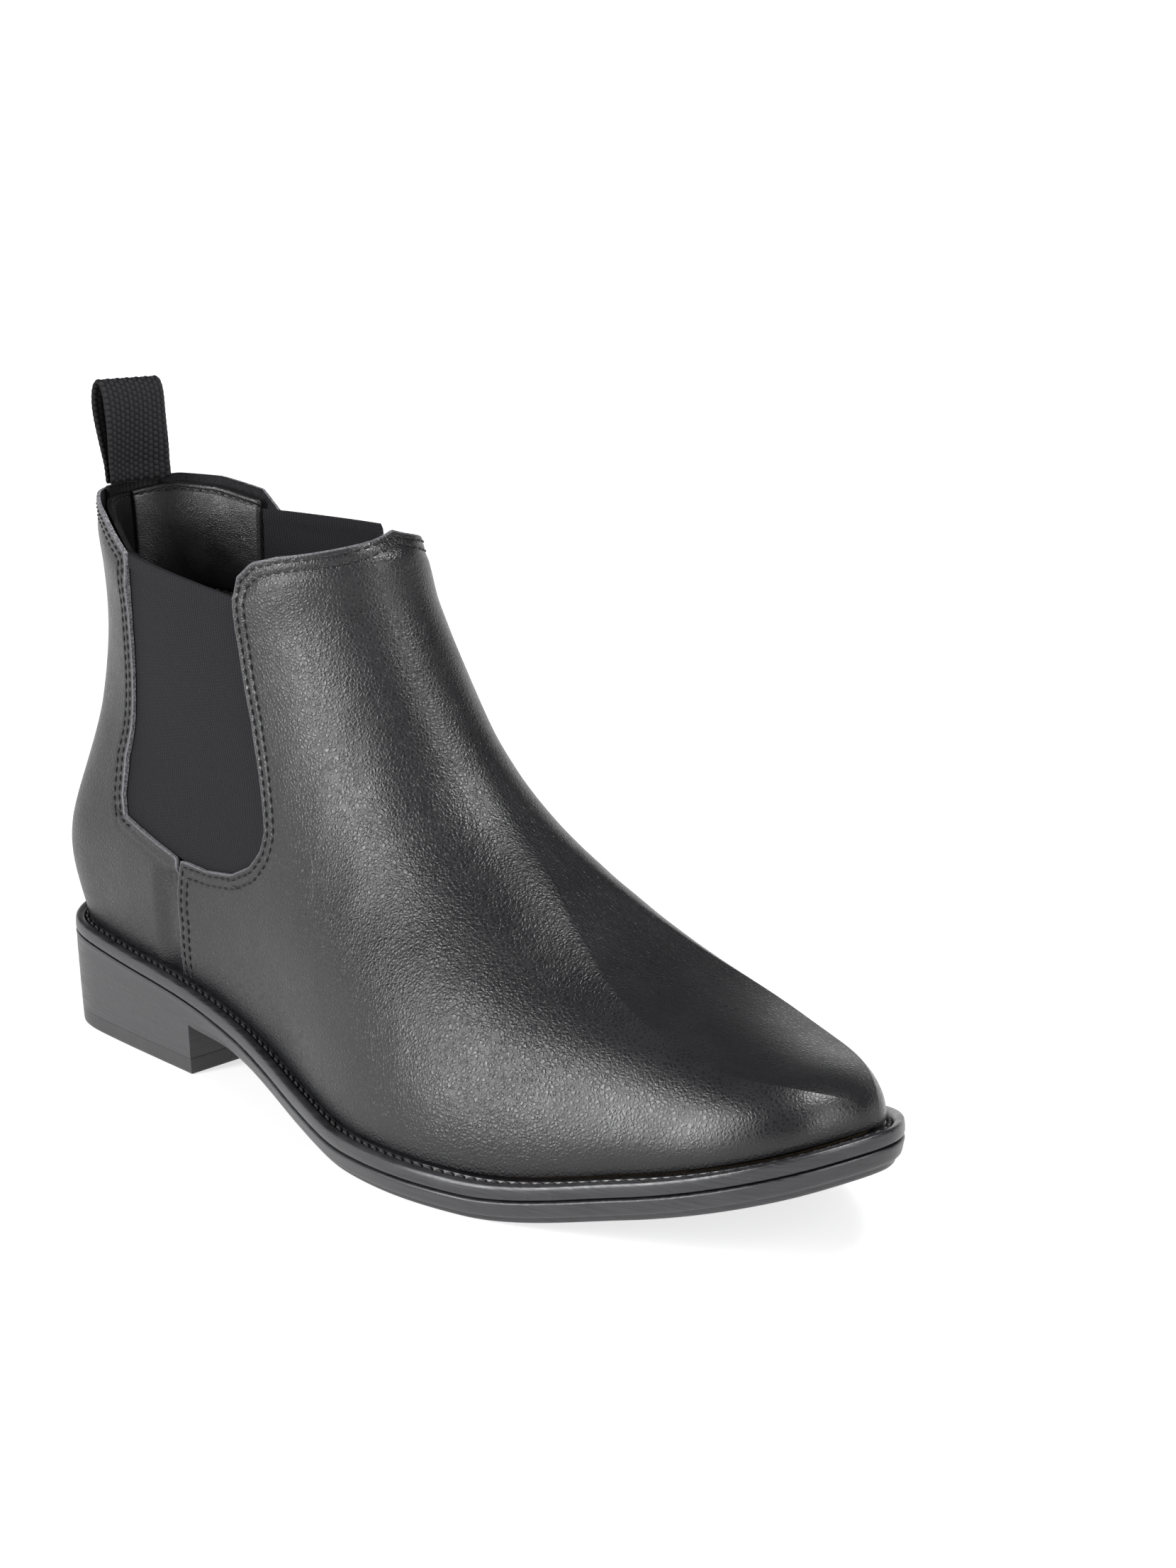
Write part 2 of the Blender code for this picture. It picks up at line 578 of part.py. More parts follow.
def pin(name, x, y, levels, mat, sides=10):
    """A turned pin: levels are (radius, z) from the bottom up."""
    angles = 2 * np.pi * np.arange(sides) / sides
    rings = [np.column_stack([x + r * np.cos(angles), y + r * np.sin(angles), np.full(sides, z)])
             for r, z in levels]
    faces = grid_faces(len(rings), sides, wrap=True)
    faces += [tuple(range(sides))[::-1], tuple(range((len(rings) - 1) * sides, len(rings) * sides))]
    return add_piece(name, np.vstack(rings), faces, mat)


def bore(targets, x, y, radius, low, high):
    """Cuts a round hole through the targets with a hidden cutter."""
    cutter = pin("hole_cutter", x, y, [(radius, low), (radius, high)], None, 10)
    cutter.hide_render = True
    cutter.display_type = "WIRE"
    for target in targets:
        cut = target.modifiers.new("hole", "BOOLEAN")
        cut.operation = "DIFFERENCE"
        cut.solver = "EXACT"
        cut.object = cutter


def make_fasteners(mats, board, shank, outsole, block):
    for x, name in zip(RIVET_X, ("shank_rivet_rear", "shank_rivet_front")):
        base = float(sole_bottom(x))
        low, high = base + WELT_LIP - SHANK_THICK - 1.9, base + BOARD[1]
        bore([board, shank], x, 0, RIVET_RADIUS + GAP, low, high + 3)
        pin(name, x, 0, [(RIVET_HEAD, low), (RIVET_HEAD, low + 0.6), (RIVET_RADIUS, low + 0.7), (RIVET_RADIUS, high - 0.3)],
            mats["steel"])
    for i, (x, y) in enumerate(NAILS):
        base = float(sole_bottom(x))
        low, high = base - NAIL_DEPTH, base + BOARD[1] - 0.6
        bore([board, outsole, block], x, y, NAIL_RADIUS + GAP, low - 0.5, high + 4)
        pin(f"heel_nail_{i + 1}", x, y, [(0.4, low), (NAIL_RADIUS, low + 2), (NAIL_RADIUS, high)],
            mats["nail"])


def loop_path(n=26):
    """Mid-line of the webbing in side view, up the rear leg, over the top and down the front leg."""
    x0, z0 = LOOP_ROOT
    k = np.linspace(0, 1, n)
    angle = 2 * np.pi * k
    rise = (1 - np.cos(angle)) / 2
    z = z0 + (LOOP_TOP - WEBBING / 2 - z0) * rise
    spread = np.sin(angle) * (0.25 + 0.75 * rise) * LOOP_SWELL
    return np.column_stack([x0 + WEBBING / 2 + 0.2 - spread - 1.8 * rise, z])


def make_loop(mats):
    """The free part of the pull loop, which turns on its root; its two legs run together there."""
    path = loop_path()
    steps = np.gradient(path, axis=0)
    steps /= np.linalg.norm(steps, axis=1)[:, None]
    side = np.stack([-steps[:, 1], steps[:, 0]], 1) * WEBBING / 2
    outer, inner = path + side, (path - side)[1:-1]
    x0, z0 = LOOP_ROOT
    outer[0], outer[-1] = (x0 - 1.0, z0), (x0 + 0.7, z0)
    inner[:, 0] = np.where(inner[:, 1] < z0 + 3, x0 + 0.2, inner[:, 0])
    hoop = np.vstack([outer, inner[::-1]])
    reach = 0.7 + ROOT_SLOPE * (hoop[:, 1] - z0)
    hoop[:, 0] = np.minimum(hoop[:, 0], x0 + np.where(reach < 3.5, reach, 9))
    across = np.linspace(-LOOP_WIDTH / 2, LOOP_WIDTH / 2, 5)
    fade = 1 - smooth((hoop[:, 1] - z0) / 20)
    points = [(x + LOOP_BOW * y * y * f, y, z) for y in across for (x, z), f in zip(hoop, fade)]
    n, ring = len(outer), len(hoop)
    faces = []
    for r in range(len(across) - 1):
        for first, last in ((0, n), (n, ring)):
            for c in range(first, last):
                d = c + 1 if c + 1 < last else first
                faces.append((r * ring + c, (r + 1) * ring + c, (r + 1) * ring + d, r * ring + d))
    for first, flip in ((0, 1), ((len(across) - 1) * ring, -1)):
        facing = [first + ring - k for k in range(1, n - 1)]
        caps = [(first + k, first + k + 1, facing[k], facing[k - 1]) for k in range(1, n - 2)]
        caps += [(first, first + 1, facing[0]), (first + n - 2, first + n - 1, facing[-1]),
                 (first, facing[0], facing[-1], first + n - 1)]
        faces += [c[::-flip] for c in caps]
    return add_piece("pull_loop", points, faces, mats["webbing"], (x0 - CENTRE[0], -CENTRE[1], z0))


def make_tail(mats):
    half = LOOP_WIDTH / 2
    top = TAIL_TOP
    low = top - TAIL_DROP / 128
    t = np.linspace(low, top, 5)
    a_edge = float(np.interp(half, -UPPER.face(np.linspace(0, 0.3, 60), 0.95)[:, 1], np.linspace(0, 0.3, 60)))
    a = np.linspace(-a_edge, a_edge, 9)
    grid = np.stack(np.meshgrid(a, t), -1)
    panel("pull_loop_tail", grid, UNDER, UNDER_IN, mats["webbing"])


def make_materials():
    return {
        "leather": material("black_leather", (0.016, 0.016, 0.018), 0.38),
        "elastic": material("elastic_gore", (0.018, 0.018, 0.02), 0.85),
        "lining": material("collar_lining", (0.014, 0.014, 0.015), 0.4),
        "textile": material("textile_lining", (0.02, 0.02, 0.021), 0.9),
        "stiffener": material("stiffener_board", (0.55, 0.48, 0.38), 0.8),
        "foam": material("collar_foam", (0.75, 0.73, 0.62), 0.9),
        "rubber": material("sole_rubber", (0.03, 0.03, 0.032), 0.5),
        "heel": material("heel_stack", (0.028, 0.028, 0.03), 0.45),
        "welt": material("welt_strip", (0.025, 0.025, 0.027), 0.35),
        "thread": material("welt_thread", (0.02, 0.02, 0.02), 0.6),
        "board": material("insole_board", (0.42, 0.3, 0.18), 0.85),
        "cork": material("cork_filler", (0.4, 0.26, 0.14), 0.9),
        "sock": material("sock_liner", (0.02, 0.02, 0.02), 0.7),
        "steel": material("spring_steel", (0.55, 0.56, 0.58), 0.35, 1.0),
        "nail": material("nail_steel", (0.4, 0.38, 0.34), 0.4, 1.0),
        "webbing": material("loop_webbing", (0.02, 0.02, 0.022), 0.8),
    }


def main():
    clear_scene()
    mats = make_materials()
    make_upper(mats)
    make_linings(mats)
    make_sole(mats)
    block = make_heel(mats)
    board, shank = make_insole(mats)
    make_fasteners(mats, board, shank, bpy.data.objects["outsole"], block)
    make_loop(mats)
    make_tail(mats)


main()
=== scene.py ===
"""Looks of a right-foot chelsea boot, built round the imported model.

Sizes are in millimetres in the shape code and become metres in build(). Design x runs from the back
of the heel to the toe, y points to the inner side of the foot and z is up from the ground.
"""

import math

import bpy
import numpy as np
from mathutils import Matrix, Vector, kdtree, noise


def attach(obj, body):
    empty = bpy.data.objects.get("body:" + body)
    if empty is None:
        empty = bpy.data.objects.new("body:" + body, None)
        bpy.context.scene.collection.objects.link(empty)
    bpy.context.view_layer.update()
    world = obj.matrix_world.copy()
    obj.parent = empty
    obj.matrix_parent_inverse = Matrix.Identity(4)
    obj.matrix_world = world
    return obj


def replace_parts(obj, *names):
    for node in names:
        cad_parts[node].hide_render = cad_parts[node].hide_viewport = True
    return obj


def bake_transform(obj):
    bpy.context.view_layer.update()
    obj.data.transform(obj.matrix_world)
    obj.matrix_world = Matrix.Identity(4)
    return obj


MM = 0.001
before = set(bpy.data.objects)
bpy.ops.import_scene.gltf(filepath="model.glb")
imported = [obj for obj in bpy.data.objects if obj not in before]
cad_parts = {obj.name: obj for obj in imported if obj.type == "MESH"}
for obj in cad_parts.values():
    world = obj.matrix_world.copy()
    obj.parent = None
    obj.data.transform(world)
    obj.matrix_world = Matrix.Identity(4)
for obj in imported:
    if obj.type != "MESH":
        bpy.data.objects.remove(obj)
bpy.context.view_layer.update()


def unit(vectors):
    return vectors / np.linalg.norm(vectors, axis=-1, keepdims=True)


def lengths_along(path):
    """Length from the first point of a path to each of its points."""
    return np.concatenate([[0], np.cumsum(np.linalg.norm(np.diff(path, axis=0), axis=1))])


# Driving dimensions of the sole unit
LATERAL_EDGE = [(0, 0), (3.9, -17), (13.8, -28.5), (30, -32.5), (70, -35.3), (99, -38), (128, -44.3),
                (158, -52.5), (187, -55), (212, -50.8), (237, -43.8), (259, -37), (277, -31),
                (289, -23.5), (297, -12), (300.5, 1)]
MEDIAL_EDGE = [(0, 0), (3.9, 17), (13.8, 27.5), (30, 31.5), (70, 31.5), (99, 29.5), (128, 31), (158, 38),
               (187, 45.5), (212, 47.5), (237, 43.5), (257, 37), (274, 29), (287, 20), (296, 10.5),
               (300.5, 1)]
SOLE_LIFT = [(0, 24.8), (40, 20), (72, 16.5), (100, 11.6), (140, 3), (165, 0), (205, 0), (250, 8),
             (300.5, 24)]
SOLE_THICK = 6.2
WELT_LOW = 6.5
WELT_TOP = 10.5
WELT_LIP = 10.2
CHANNEL_FLOOR = 9.2
CHANNEL_OUT, CHANNEL_IN = 3.0, 4.4
FEATHER_INSET = 4.5
HEEL_BREAST = 77.7
TOP_PIECE = 5.0
GAP = 0.3

# Front ridge and back curve of the upper, in side view, from just above the welt up to the topline
RIDGE = [(294.3, 39), (286, 45.6), (268, 50.6), (245, 56.8), (221.5, 65.5), (195, 79.2), (167, 98.4),
         (148, 123.6), (137.6, 144.4), (132.5, 160.8)]
BACK = [(-0.2, 57), (5.4, 78), (10.7, 105), (11, 132), (9.8, 164)]
BACK_KNOTS = [0, 0.17, 0.33, 0.55, 0.75, 1]
SHAFT_LATERAL, SHAFT_MEDIAL = 29.2, 28.3
SHAFT_POWER = 2.3
TOE_POWER, INSTEP_POWER = 2.03, 1.6
SIDE_BULGE, HEEL_BULGE = 0.2, 0.085
RIDGE_SHIFT = 3.6

# Panel edges on the upper, as (x, share of the height from welt to topline)
SEAM_X, SEAM_TOP = 70.2, 0.277
UNDER_TOP, UNDER_END = 0.2, 0.22
GUSSET_REAR = [(45.5, 0.315), (43.5, 0.36), (42.8, 0.45), (44.6, 0.6), (45.2, 0.75), (46.5, 0.894)]
GUSSET_FRONT = [(86, 0.283), (97, 0.306), (105.5, 0.35), (110, 0.4), (111.4, 0.45), (109.4, 0.53),
                (106.7, 0.61), (103.8, 0.68), (100.2, 0.75), (97.8, 0.82), (96.7, 0.88)]
VAMP_TOP = [(98.2, 0.915), (103.2, 0.941), (111, 0.954), (124, 0.969)]
FRONT_TIP = 0.995
QUARTER_TOP_LATERAL = [(42.5, 0.909), (31, 0.954), (17.7, 0.982)]
QUARTER_TOP_MEDIAL = [(18, 1.008), (30.5, 1.004), (45, 0.985), (51, 0.95)]
BACK_TOP = 0.986

# Layers, as depths below the outer face of the upper
LEATHER = 1.3
UNDER = 1.6
UNDER_IN = 2.9
LINING = 3.5
LINING_IN = 4.3
PUFF = 1.8
OVERLAP = 8.0

# Insole stack, above the underside of the outsole
BOARD = (10.5, 12.5)
CUSHION = 2.4
SOCK = 1.8
INSOLE_INSET = 9.2

# Pull loop
LOOP_WIDTH, WEBBING = 21.6, 1.5
LOOP_ROOT = (14.6, 163.8)
LOOP_TOP = 194.0
LOOP_SWELL, LOOP_BOW = 5.2, 0.024
TAIL_TOP = 0.977

RIM_N = 220
CENTRE = (150.25, -3.75)


def smooth(x):
    x = np.clip(x, 0, 1)
    return x * x * (3 - 2 * x)


def monotone(x, points):
    """A curve through (x, y) points that never overshoots them."""
    xs, ys = np.array(points, float).T
    h = np.diff(xs)
    m = np.diff(ys) / h
    d = np.concatenate([[m[0]], np.zeros(len(m) - 1), [m[-1]]])
    for i in range(1, len(m)):
        if m[i - 1] * m[i] > 0:
            a, b = 2 * h[i] + h[i - 1], h[i] + 2 * h[i - 1]
            d[i] = (a + b) / (a / m[i - 1] + b / m[i])
    i = np.clip(np.searchsorted(xs, x) - 1, 0, len(h) - 1)
    s = np.clip((x - xs[i]) / h[i], 0, 1)
    rise = s * s * (3 - 2 * s)
    tangents = s * (1 - s) ** 2 * d[i] - s * s * (1 - s) * d[i + 1]
    return ys[i] + (ys[i + 1] - ys[i]) * rise + tangents * h[i]


def spline(t, knots, points):
    """A natural cubic spline through the points at their knots."""
    knots, points = np.array(knots, float), np.array(points, float)
    n, h = len(knots), np.diff(knots)
    matrix, right = np.eye(n), np.zeros_like(points)
    for i in range(1, n - 1):
        matrix[i, i - 1:i + 2] = h[i - 1], 2 * (h[i - 1] + h[i]), h[i]
        right[i] = 6 * ((points[i + 1] - points[i]) / h[i] - (points[i] - points[i - 1]) / h[i - 1])
    bend = np.linalg.solve(matrix, right)
    t = np.asarray(t, float)
    i = np.clip(np.searchsorted(knots, t) - 1, 0, n - 2)
    a, b, w = ((knots[i + 1] - t) / h[i])[..., None], ((t - knots[i]) / h[i])[..., None], h[i][..., None]
    return a * points[i] + b * points[i + 1] + ((a**3 - a) * bend[i] + (b**3 - b) * bend[i + 1]) * w * w / 6


def arc_knots(points):
    steps = np.hypot(*np.diff(np.array(points, float), axis=0).T)
    lengths = np.concatenate([[0], np.cumsum(steps)])
    return lengths / lengths[-1]


def edge_curve(inset):
    """The sole's outline, moved inwards: (lateral, medial) halves as points from back to toe."""
    loop = np.array(LATERAL_EDGE + MEDIAL_EDGE[-2:0:-1], float)
    turns = 3
    wound = np.vstack([loop[-turns:], loop, loop[:turns + 1]])
    steps = np.concatenate([[0], np.cumsum(np.hypot(*np.diff(wound, axis=0).T))])
    t = np.linspace(steps[turns], steps[turns + len(loop)], 961)[:-1]
    curve = spline(t, steps, wound)
    along = np.roll(curve, -1, 0) - np.roll(curve, 1, 0)
    inward = np.stack([-along[:, 1], along[:, 0]], 1) / np.hypot(*along.T)[:, None]
    curve = curve + inward * inset
    curve = np.roll(curve, -curve[:, 0].argmin(), 0)
    toe = curve[:, 0].argmax()
    return curve[:toe + 1], np.vstack([curve[toe:], curve[:1]])[::-1]


def rim(inset, x_end=None, n=RIM_N):
    """Points round the outline: down the lateral half to the toe, or to x_end, and back up the medial."""
    lateral, medial = edge_curve(inset)
    k = np.arange(n + 1) / n
    start, toe = lateral[0, 0], lateral[-1, 0]
    if x_end is None:
        x = start + (toe - start) * (1 - np.cos(np.pi * k)) / 2
    else:
        x = start + (x_end - start) * (1 - np.cos(np.pi * k / 2))
    out = np.stack([x, np.interp(x, *lateral.T)], 1)
    back = np.stack([x, np.interp(x, *medial.T)], 1)
    return np.vstack([out, back[::-1]])


def sole_bottom(x):
    return monotone(np.asarray(x, float), SOLE_LIFT)


def feather(x):
    return sole_bottom(x) + WELT_TOP


class Upper:
    """The outer face of the upper. a runs from the back (0) down the lateral side to the front ridge
    (1) and back along the medial side (2, which is also 0); t runs from the welt (0) to the topline (1).
    """

    def __init__(self):
        self.lateral, self.medial = edge_curve(FEATHER_INSET)
        self.x0, self.x1 = self.lateral[0, 0], self.lateral[-1, 0]
        self.toe_y = self.lateral[-1, 1]
        self.low_back, self.low_front = float(feather(self.x0)), float(feather(self.x1))
        self.ridge_points = [(self.x1, self.low_front)] + RIDGE
        self.back_points = [(self.x0, self.low_back)] + BACK
        self.ridge_knots = arc_knots(self.ridge_points)
        self.ridge = spline(np.linspace(0, 1, 400), self.ridge_knots, self.ridge_points)[::-1]

    def middle(self, x):
        return self.toe_y * smooth((x - 190) / (self.x1 - 190))

    def ends(self, t):
        front = spline(t, self.ridge_knots, self.ridge_points)
        back = spline(t, BACK_KNOTS, self.back_points)
        return back[..., 0], back[..., 1], front[..., 0], front[..., 1]

    def a_of(self, x, t, side=1):
        """Where a ring reaches x, on the lateral side (1) or the medial side (-1)."""
        back_x, _, front_x, _ = self.ends(np.asarray(t, float))
        share = np.clip((x - back_x) / (front_x - back_x), 0, 1)
        return side * np.arccos(1 - 2 * share) / np.pi

    def foot_width(self, x, z, back_x, side):
        x_low = np.clip(x + (self.x0 - back_x) * (1 - smooth(x / 120)), self.x0, self.x1)
        across = np.where(side > 0, np.interp(x_low, *self.lateral.T), np.interp(x_low, *self.medial.T))
        top = np.interp(x, *self.ridge.T) + np.clip(self.ridge[0, 0] - x, 0, None) * 3.0
        low = feather(x)
        rise = np.clip((z - low) / np.maximum(top - low, 0.01), 0, 1)
        power = TOE_POWER + (INSTEP_POWER - TOE_POWER) * smooth((270 - x) / 100)
        section = np.sqrt(np.clip(1 - np.maximum(rise, 1e-9) ** power, 0, 1))
        section = section * (1 + SIDE_BULGE * rise * (1 - rise) * np.exp(-2 * rise))
        heel = 1 + HEEL_BULGE * np.sin(np.pi * np.clip((z - low) / 66, 0, 1)) * (1 - smooth((x - 60) / 60))
        shift = RIDGE_SHIFT * rise**2 * np.sin(np.pi * np.clip((x - 110) / 190, 0, 1))
        return np.abs(across - self.middle(x_low)) * section * heel, shift

    def face(self, a, t):
        a = np.mod(np.asarray(a, float), 2)
        t = np.asarray(t, float)
        side = np.where(a <= 1, 1, -1)
        s = np.where(a <= 1, a, 2 - a)
        back_x, back_z, front_x, front_z = self.ends(t)
        share = (1 - np.cos(np.pi * s)) / 2
        x = back_x + (front_x - back_x) * share
        base = self.low_back + (self.low_front - self.low_back) * (x - self.x0) / (self.x1 - self.x0)
        z = back_z + (front_z - back_z) * share + (feather(x) - base) * np.clip(1 - t, 0, 1) ** 2.2
        foot, shift = self.foot_width(x, z, back_x, side)
        half = np.where(side > 0, SHAFT_LATERAL, SHAFT_MEDIAL)
        shaft = half * np.sqrt(np.clip(1 - np.abs(2 * share - 1) ** SHAFT_POWER, 0, 1))
        blend = smooth((t - 0.22) / 0.58)
        width = foot * (1 - blend) + shaft * blend
        return np.stack([x, self.middle(x) + shift - side * width, z], -1)

    def point(self, a, t, depth=0.0):
        """The outer face moved inwards by depth, square to the face."""
        a, t, depth = np.broadcast_arrays(np.asarray(a, float), np.asarray(t, float), depth)
        step = 0.004
        round_way = self.face(a + step, t) - self.face(a - step, t)
        up_way = self.face(a, np.minimum(t + step, 1.02)) - self.face(a, np.maximum(t - step, 0))
        normal = np.cross(round_way, up_way)
        return self.face(a, t) - unit(normal) * depth[..., None]


UPPER = Upper()


def on_upper(grid, depth):
    """Points of the upper for a grid of (a, t), moved inwards by depth."""
    return UPPER.point(grid[..., 0], grid[..., 1], depth)


def patch(left, right, bottom, top, rows, cols):
    """A grid of (a, t) values filling four edges of (a, t) points.

    rows is a list with the number of steps on each segment of the left and right edges, so that both
    keep their corners.
    """
    down_left, down_right = stops(left, rows), stops(right, rows)
    across = np.linspace(0, 1, cols)
    lf, rt = along(left, down_left)[:, None], along(right, down_right)[:, None]
    bt, tp = along(bottom, across)[None], along(top, across)[None]
    r, c = (down_left + down_right)[:, None, None] / 2, across[None, :, None]
    corners = (1 - r) * ((1 - c) * lf[0] + c * rt[0]) + r * ((1 - c) * lf[-1] + c * rt[-1])
    return (1 - c) * lf + c * rt + (1 - r) * bt + r * tp - corners


def stops(edge, steps):
    """Shares of a polyline's length at its corners and at even steps between them."""
    lengths = arc_knots(edge)
    inner = [np.linspace(lengths[i], lengths[i + 1], n + 1)[1:] for i, n in enumerate(steps)]
    return np.concatenate([[0.0], *inner])


def along(edge, shares):
    """Points at the given shares of a polyline's length."""
    edge = np.array(edge, float)
    lengths = arc_knots(edge)
    return np.stack([np.interp(shares, lengths, edge[:, k]) for k in (0, 1)], 1)


def on_side(points, side, shift=0.0):
    """Panel points (x, t) as (a, t) on one side of the boot."""
    return [(float(UPPER.a_of(x + shift, t, side)), t) for x, t in points]


def vamp_edge(side, shift=0.0, low=0.0):
    """The vamp's rear edge on one side: the side seam, then round the gusset to the top corner."""
    seam = [(SEAM_X, low), (SEAM_X + 0.6, 0.04), (SEAM_X + 2, 0.12), (SEAM_X + 4, SEAM_TOP)]
    return on_side(seam + GUSSET_FRONT + VAMP_TOP[:1], side, shift)


def front_grid(rows, cols, shift=0.0, low=0.0, drop=0.0):
    left = vamp_edge(1, shift, low)
    right = [(2 + a, t) for a, t in vamp_edge(-1, shift, low)]
    half_top = [(a, t - drop) for a, t in on_side(VAMP_TOP, 1, shift)]
    left[-1] = half_top[0]
    other = [(2 - a, t) for a, t in half_top[::-1]]
    right[-1] = other[-1]
    top = half_top + [(1.0, FRONT_TIP - drop)] + other
    bottom = [left[0], (1.0, low), right[0]]
    return patch(left, right, bottom, top, rows, cols)


def quarter_edge(side, reach, low=0.0):
    """The back quarter's front edge: under the vamp at the seam, then up the rear of the gusset."""
    under = [(SEAM_X + reach, low), (SEAM_X + 3.5 + reach, UNDER_TOP), (SEAM_X + 2.2, UNDER_END),
             (SEAM_X + 2, SEAM_TOP)]
    return on_side(under + GUSSET_REAR, side)


def quarter_grid(rows, cols, reach=OVERLAP, low=0.0):
    left = [(-abs(a), t) for a, t in quarter_edge(-1, reach, low)]
    right = quarter_edge(1, reach, low)
    medial_top = [(-abs(a), t) for a, t in on_side(QUARTER_TOP_MEDIAL[::-1], -1)]
    left[-1] = (float(-abs(UPPER.a_of(52, 0.944))), 0.944)
    top = [left[-1]] + medial_top + [(0, BACK_TOP)] + on_side(QUARTER_TOP_LATERAL[::-1], 1) + [right[-1]]
    bottom = [left[0], (0, low), right[0]]
    return patch(left, right, bottom, top, rows, cols)


def quarter_depth(grid):
    """How far the back quarter dips to pass under the vamp's seam edge."""
    a, t = grid[..., 0], grid[..., 1]
    x = UPPER.face(a, t)[..., 0]
    seam = SEAM_X + 4 * np.clip(t / SEAM_TOP, 0, 1)
    return (UNDER + 0.2) * smooth((x - seam + 13) / 8) * smooth((UNDER_END + 0.035 - t) / 0.03)


def gore_grid(side, cols):
    """An elastic gusset, with a margin under the leather on three sides."""
    rear = [(x - 7, t) for x, t in GUSSET_REAR]
    rear[0] = (40, 0.3)
    front = [(x + 7, t) for x, t in GUSSET_FRONT[3:8] + GUSSET_FRONT[-1:]]
    left, right = on_side(rear, 1), on_side(front, 1)
    bottom = on_side([(40, 0.3), (60, 0.288), (80, 0.272), (98, 0.28), (110, 0.315), (117, 0.4)], 1)
    lift = 0 if side > 0 else 1
    top = [(left[-1][0], 0.894 + 0.05 * lift), (right[-1][0], 0.876 + 0.09 * lift)]
    left[-1], right[-1] = top
    right[0] = bottom[-1]
    left[0] = bottom[0]
    grid = patch(left, right, bottom, top, [2] * 5, cols)
    if side < 0:
        grid[..., 0] *= -1
        grid = grid[:, ::-1]
    return grid


def back_grid(x_front, low, high, rows, cols, start=None):
    """Rings round the heel, or on one side of it from start, up to x_front."""
    t = np.linspace(low, high, rows)
    a = UPPER.a_of(np.full(rows, float(x_front)), t)[:, None]
    c = np.linspace(-1, 1, cols)[None] if start is None else np.linspace(0, 1, cols)[None]
    grid_a = c * a if start is None else start + c * (a - start)
    return np.stack([grid_a, np.broadcast_to(t[:, None], grid_a.shape)], -1)


def mirrored(grid):
    return np.stack([-grid[..., 0], grid[..., 1]], -1)[:, ::-1]


def swell(shape):
    r = np.sin(np.pi * np.linspace(0, 1, shape[0]))[:, None]
    c = np.sin(np.pi * np.linspace(0, 1, shape[1]))[None]
    return np.sqrt(r * c)


# Materials
class Shader:
    """Small helper that adds nodes to one material."""

    def __init__(self, name, colour, roughness, **fixed):
        self.mat = bpy.data.materials.new(name)
        self.mat.use_nodes = True
        self.tree = self.mat.node_tree
        self.bsdf = self.tree.nodes["Principled BSDF"]
        self.bsdf.inputs["Base Color"].default_value = (*colour, 1)
        self.bsdf.inputs["Roughness"].default_value = roughness
        for key, value in fixed.items():
            self.bsdf.inputs[key.replace("_", " ")].default_value = value
        self.place = self.add("ShaderNodeTexCoord").outputs["Object"]
        self.mat.diffuse_color = (*colour, 1)

    def add(self, kind, links=None, **settings):
        node = self.tree.nodes.new(kind)
        for key, value in settings.items():
            setattr(node, key, value)
        for key, value in (links or {}).items():
            if isinstance(value, bpy.types.NodeSocket):
                self.tree.links.new(value, node.inputs[key])
            else:
                node.inputs[key].default_value = value
        return node

    def math(self, operation, a, b=0.0, c=0.0):
        node = self.add("ShaderNodeMath", {0: a, 1: b, 2: c}, operation=operation)
        return node.outputs[0]

    def times(self, a, b):
        return self.math("MULTIPLY", a, b)

    def plus(self, a, b):
        return self.math("ADD", a, b)

    def noise(self, scale, detail=3.0, rough=0.55, vector=None):
        links = {"Vector": vector or self.place, "Scale": scale, "Detail": detail, "Roughness": rough}
        return self.add("ShaderNodeTexNoise", links).outputs["Fac"]

    def cells(self, scale, feature="F1", vector=None, jitter=1.0):
        links = {"Vector": vector or self.place, "Scale": scale, "Randomness": jitter}
        return self.add("ShaderNodeTexVoronoi", links, feature=feature).outputs["Distance"]

    def span(self, value, low, high, to_low=0.0, to_high=1.0, kind="SMOOTHSTEP"):
        links = {"Value": value, "From Min": low, "From Max": high, "To Min": to_low, "To Max": to_high}
        return self.add("ShaderNodeMapRange", links, interpolation_type=kind).outputs["Result"]

    def blend(self, share, one, two):
        node = self.add("ShaderNodeMix", None, data_type="RGBA")
        for key, value in ((0, share), (6, one), (7, two)):
            if isinstance(value, bpy.types.NodeSocket):
                self.tree.links.new(value, node.inputs[key])
            else:
                node.inputs[key].default_value = value if key == 0 else (*value, 1)
        return node.outputs[2]

    def bump(self, height, depth_mm, strength=1.0, after=None):
        links = {"Height": height, "Distance": depth_mm * MM, "Strength": strength}
        if after is not None:
            links["Normal"] = after
        return self.add("ShaderNodeBump", links).outputs["Normal"]

    def value(self, name):
        return self.add("ShaderNodeAttribute", None, attribute_name=name).outputs["Fac"]

    def uv(self, x_scale, y_scale):
        """Panel coordinates in millimetres, times the given scales: (u, v) sockets."""
        mm = self.add("ShaderNodeUVMap", None, uv_map="mm").outputs[0]
        parts = self.add("ShaderNodeSeparateXYZ", {0: mm})
        return self.times(parts.outputs[0], x_scale), self.times(parts.outputs[1], y_scale)

    def finish(self, colour=None, roughness=None, normal=None):
        for key, socket in (("Base Color", colour), ("Roughness", roughness), ("Normal", normal)):
            if socket is not None:
                self.tree.links.new(socket, self.bsdf.inputs[key])
        return self.mat


def shade(tone, factor):
    return tuple(channel * factor for channel in tone)


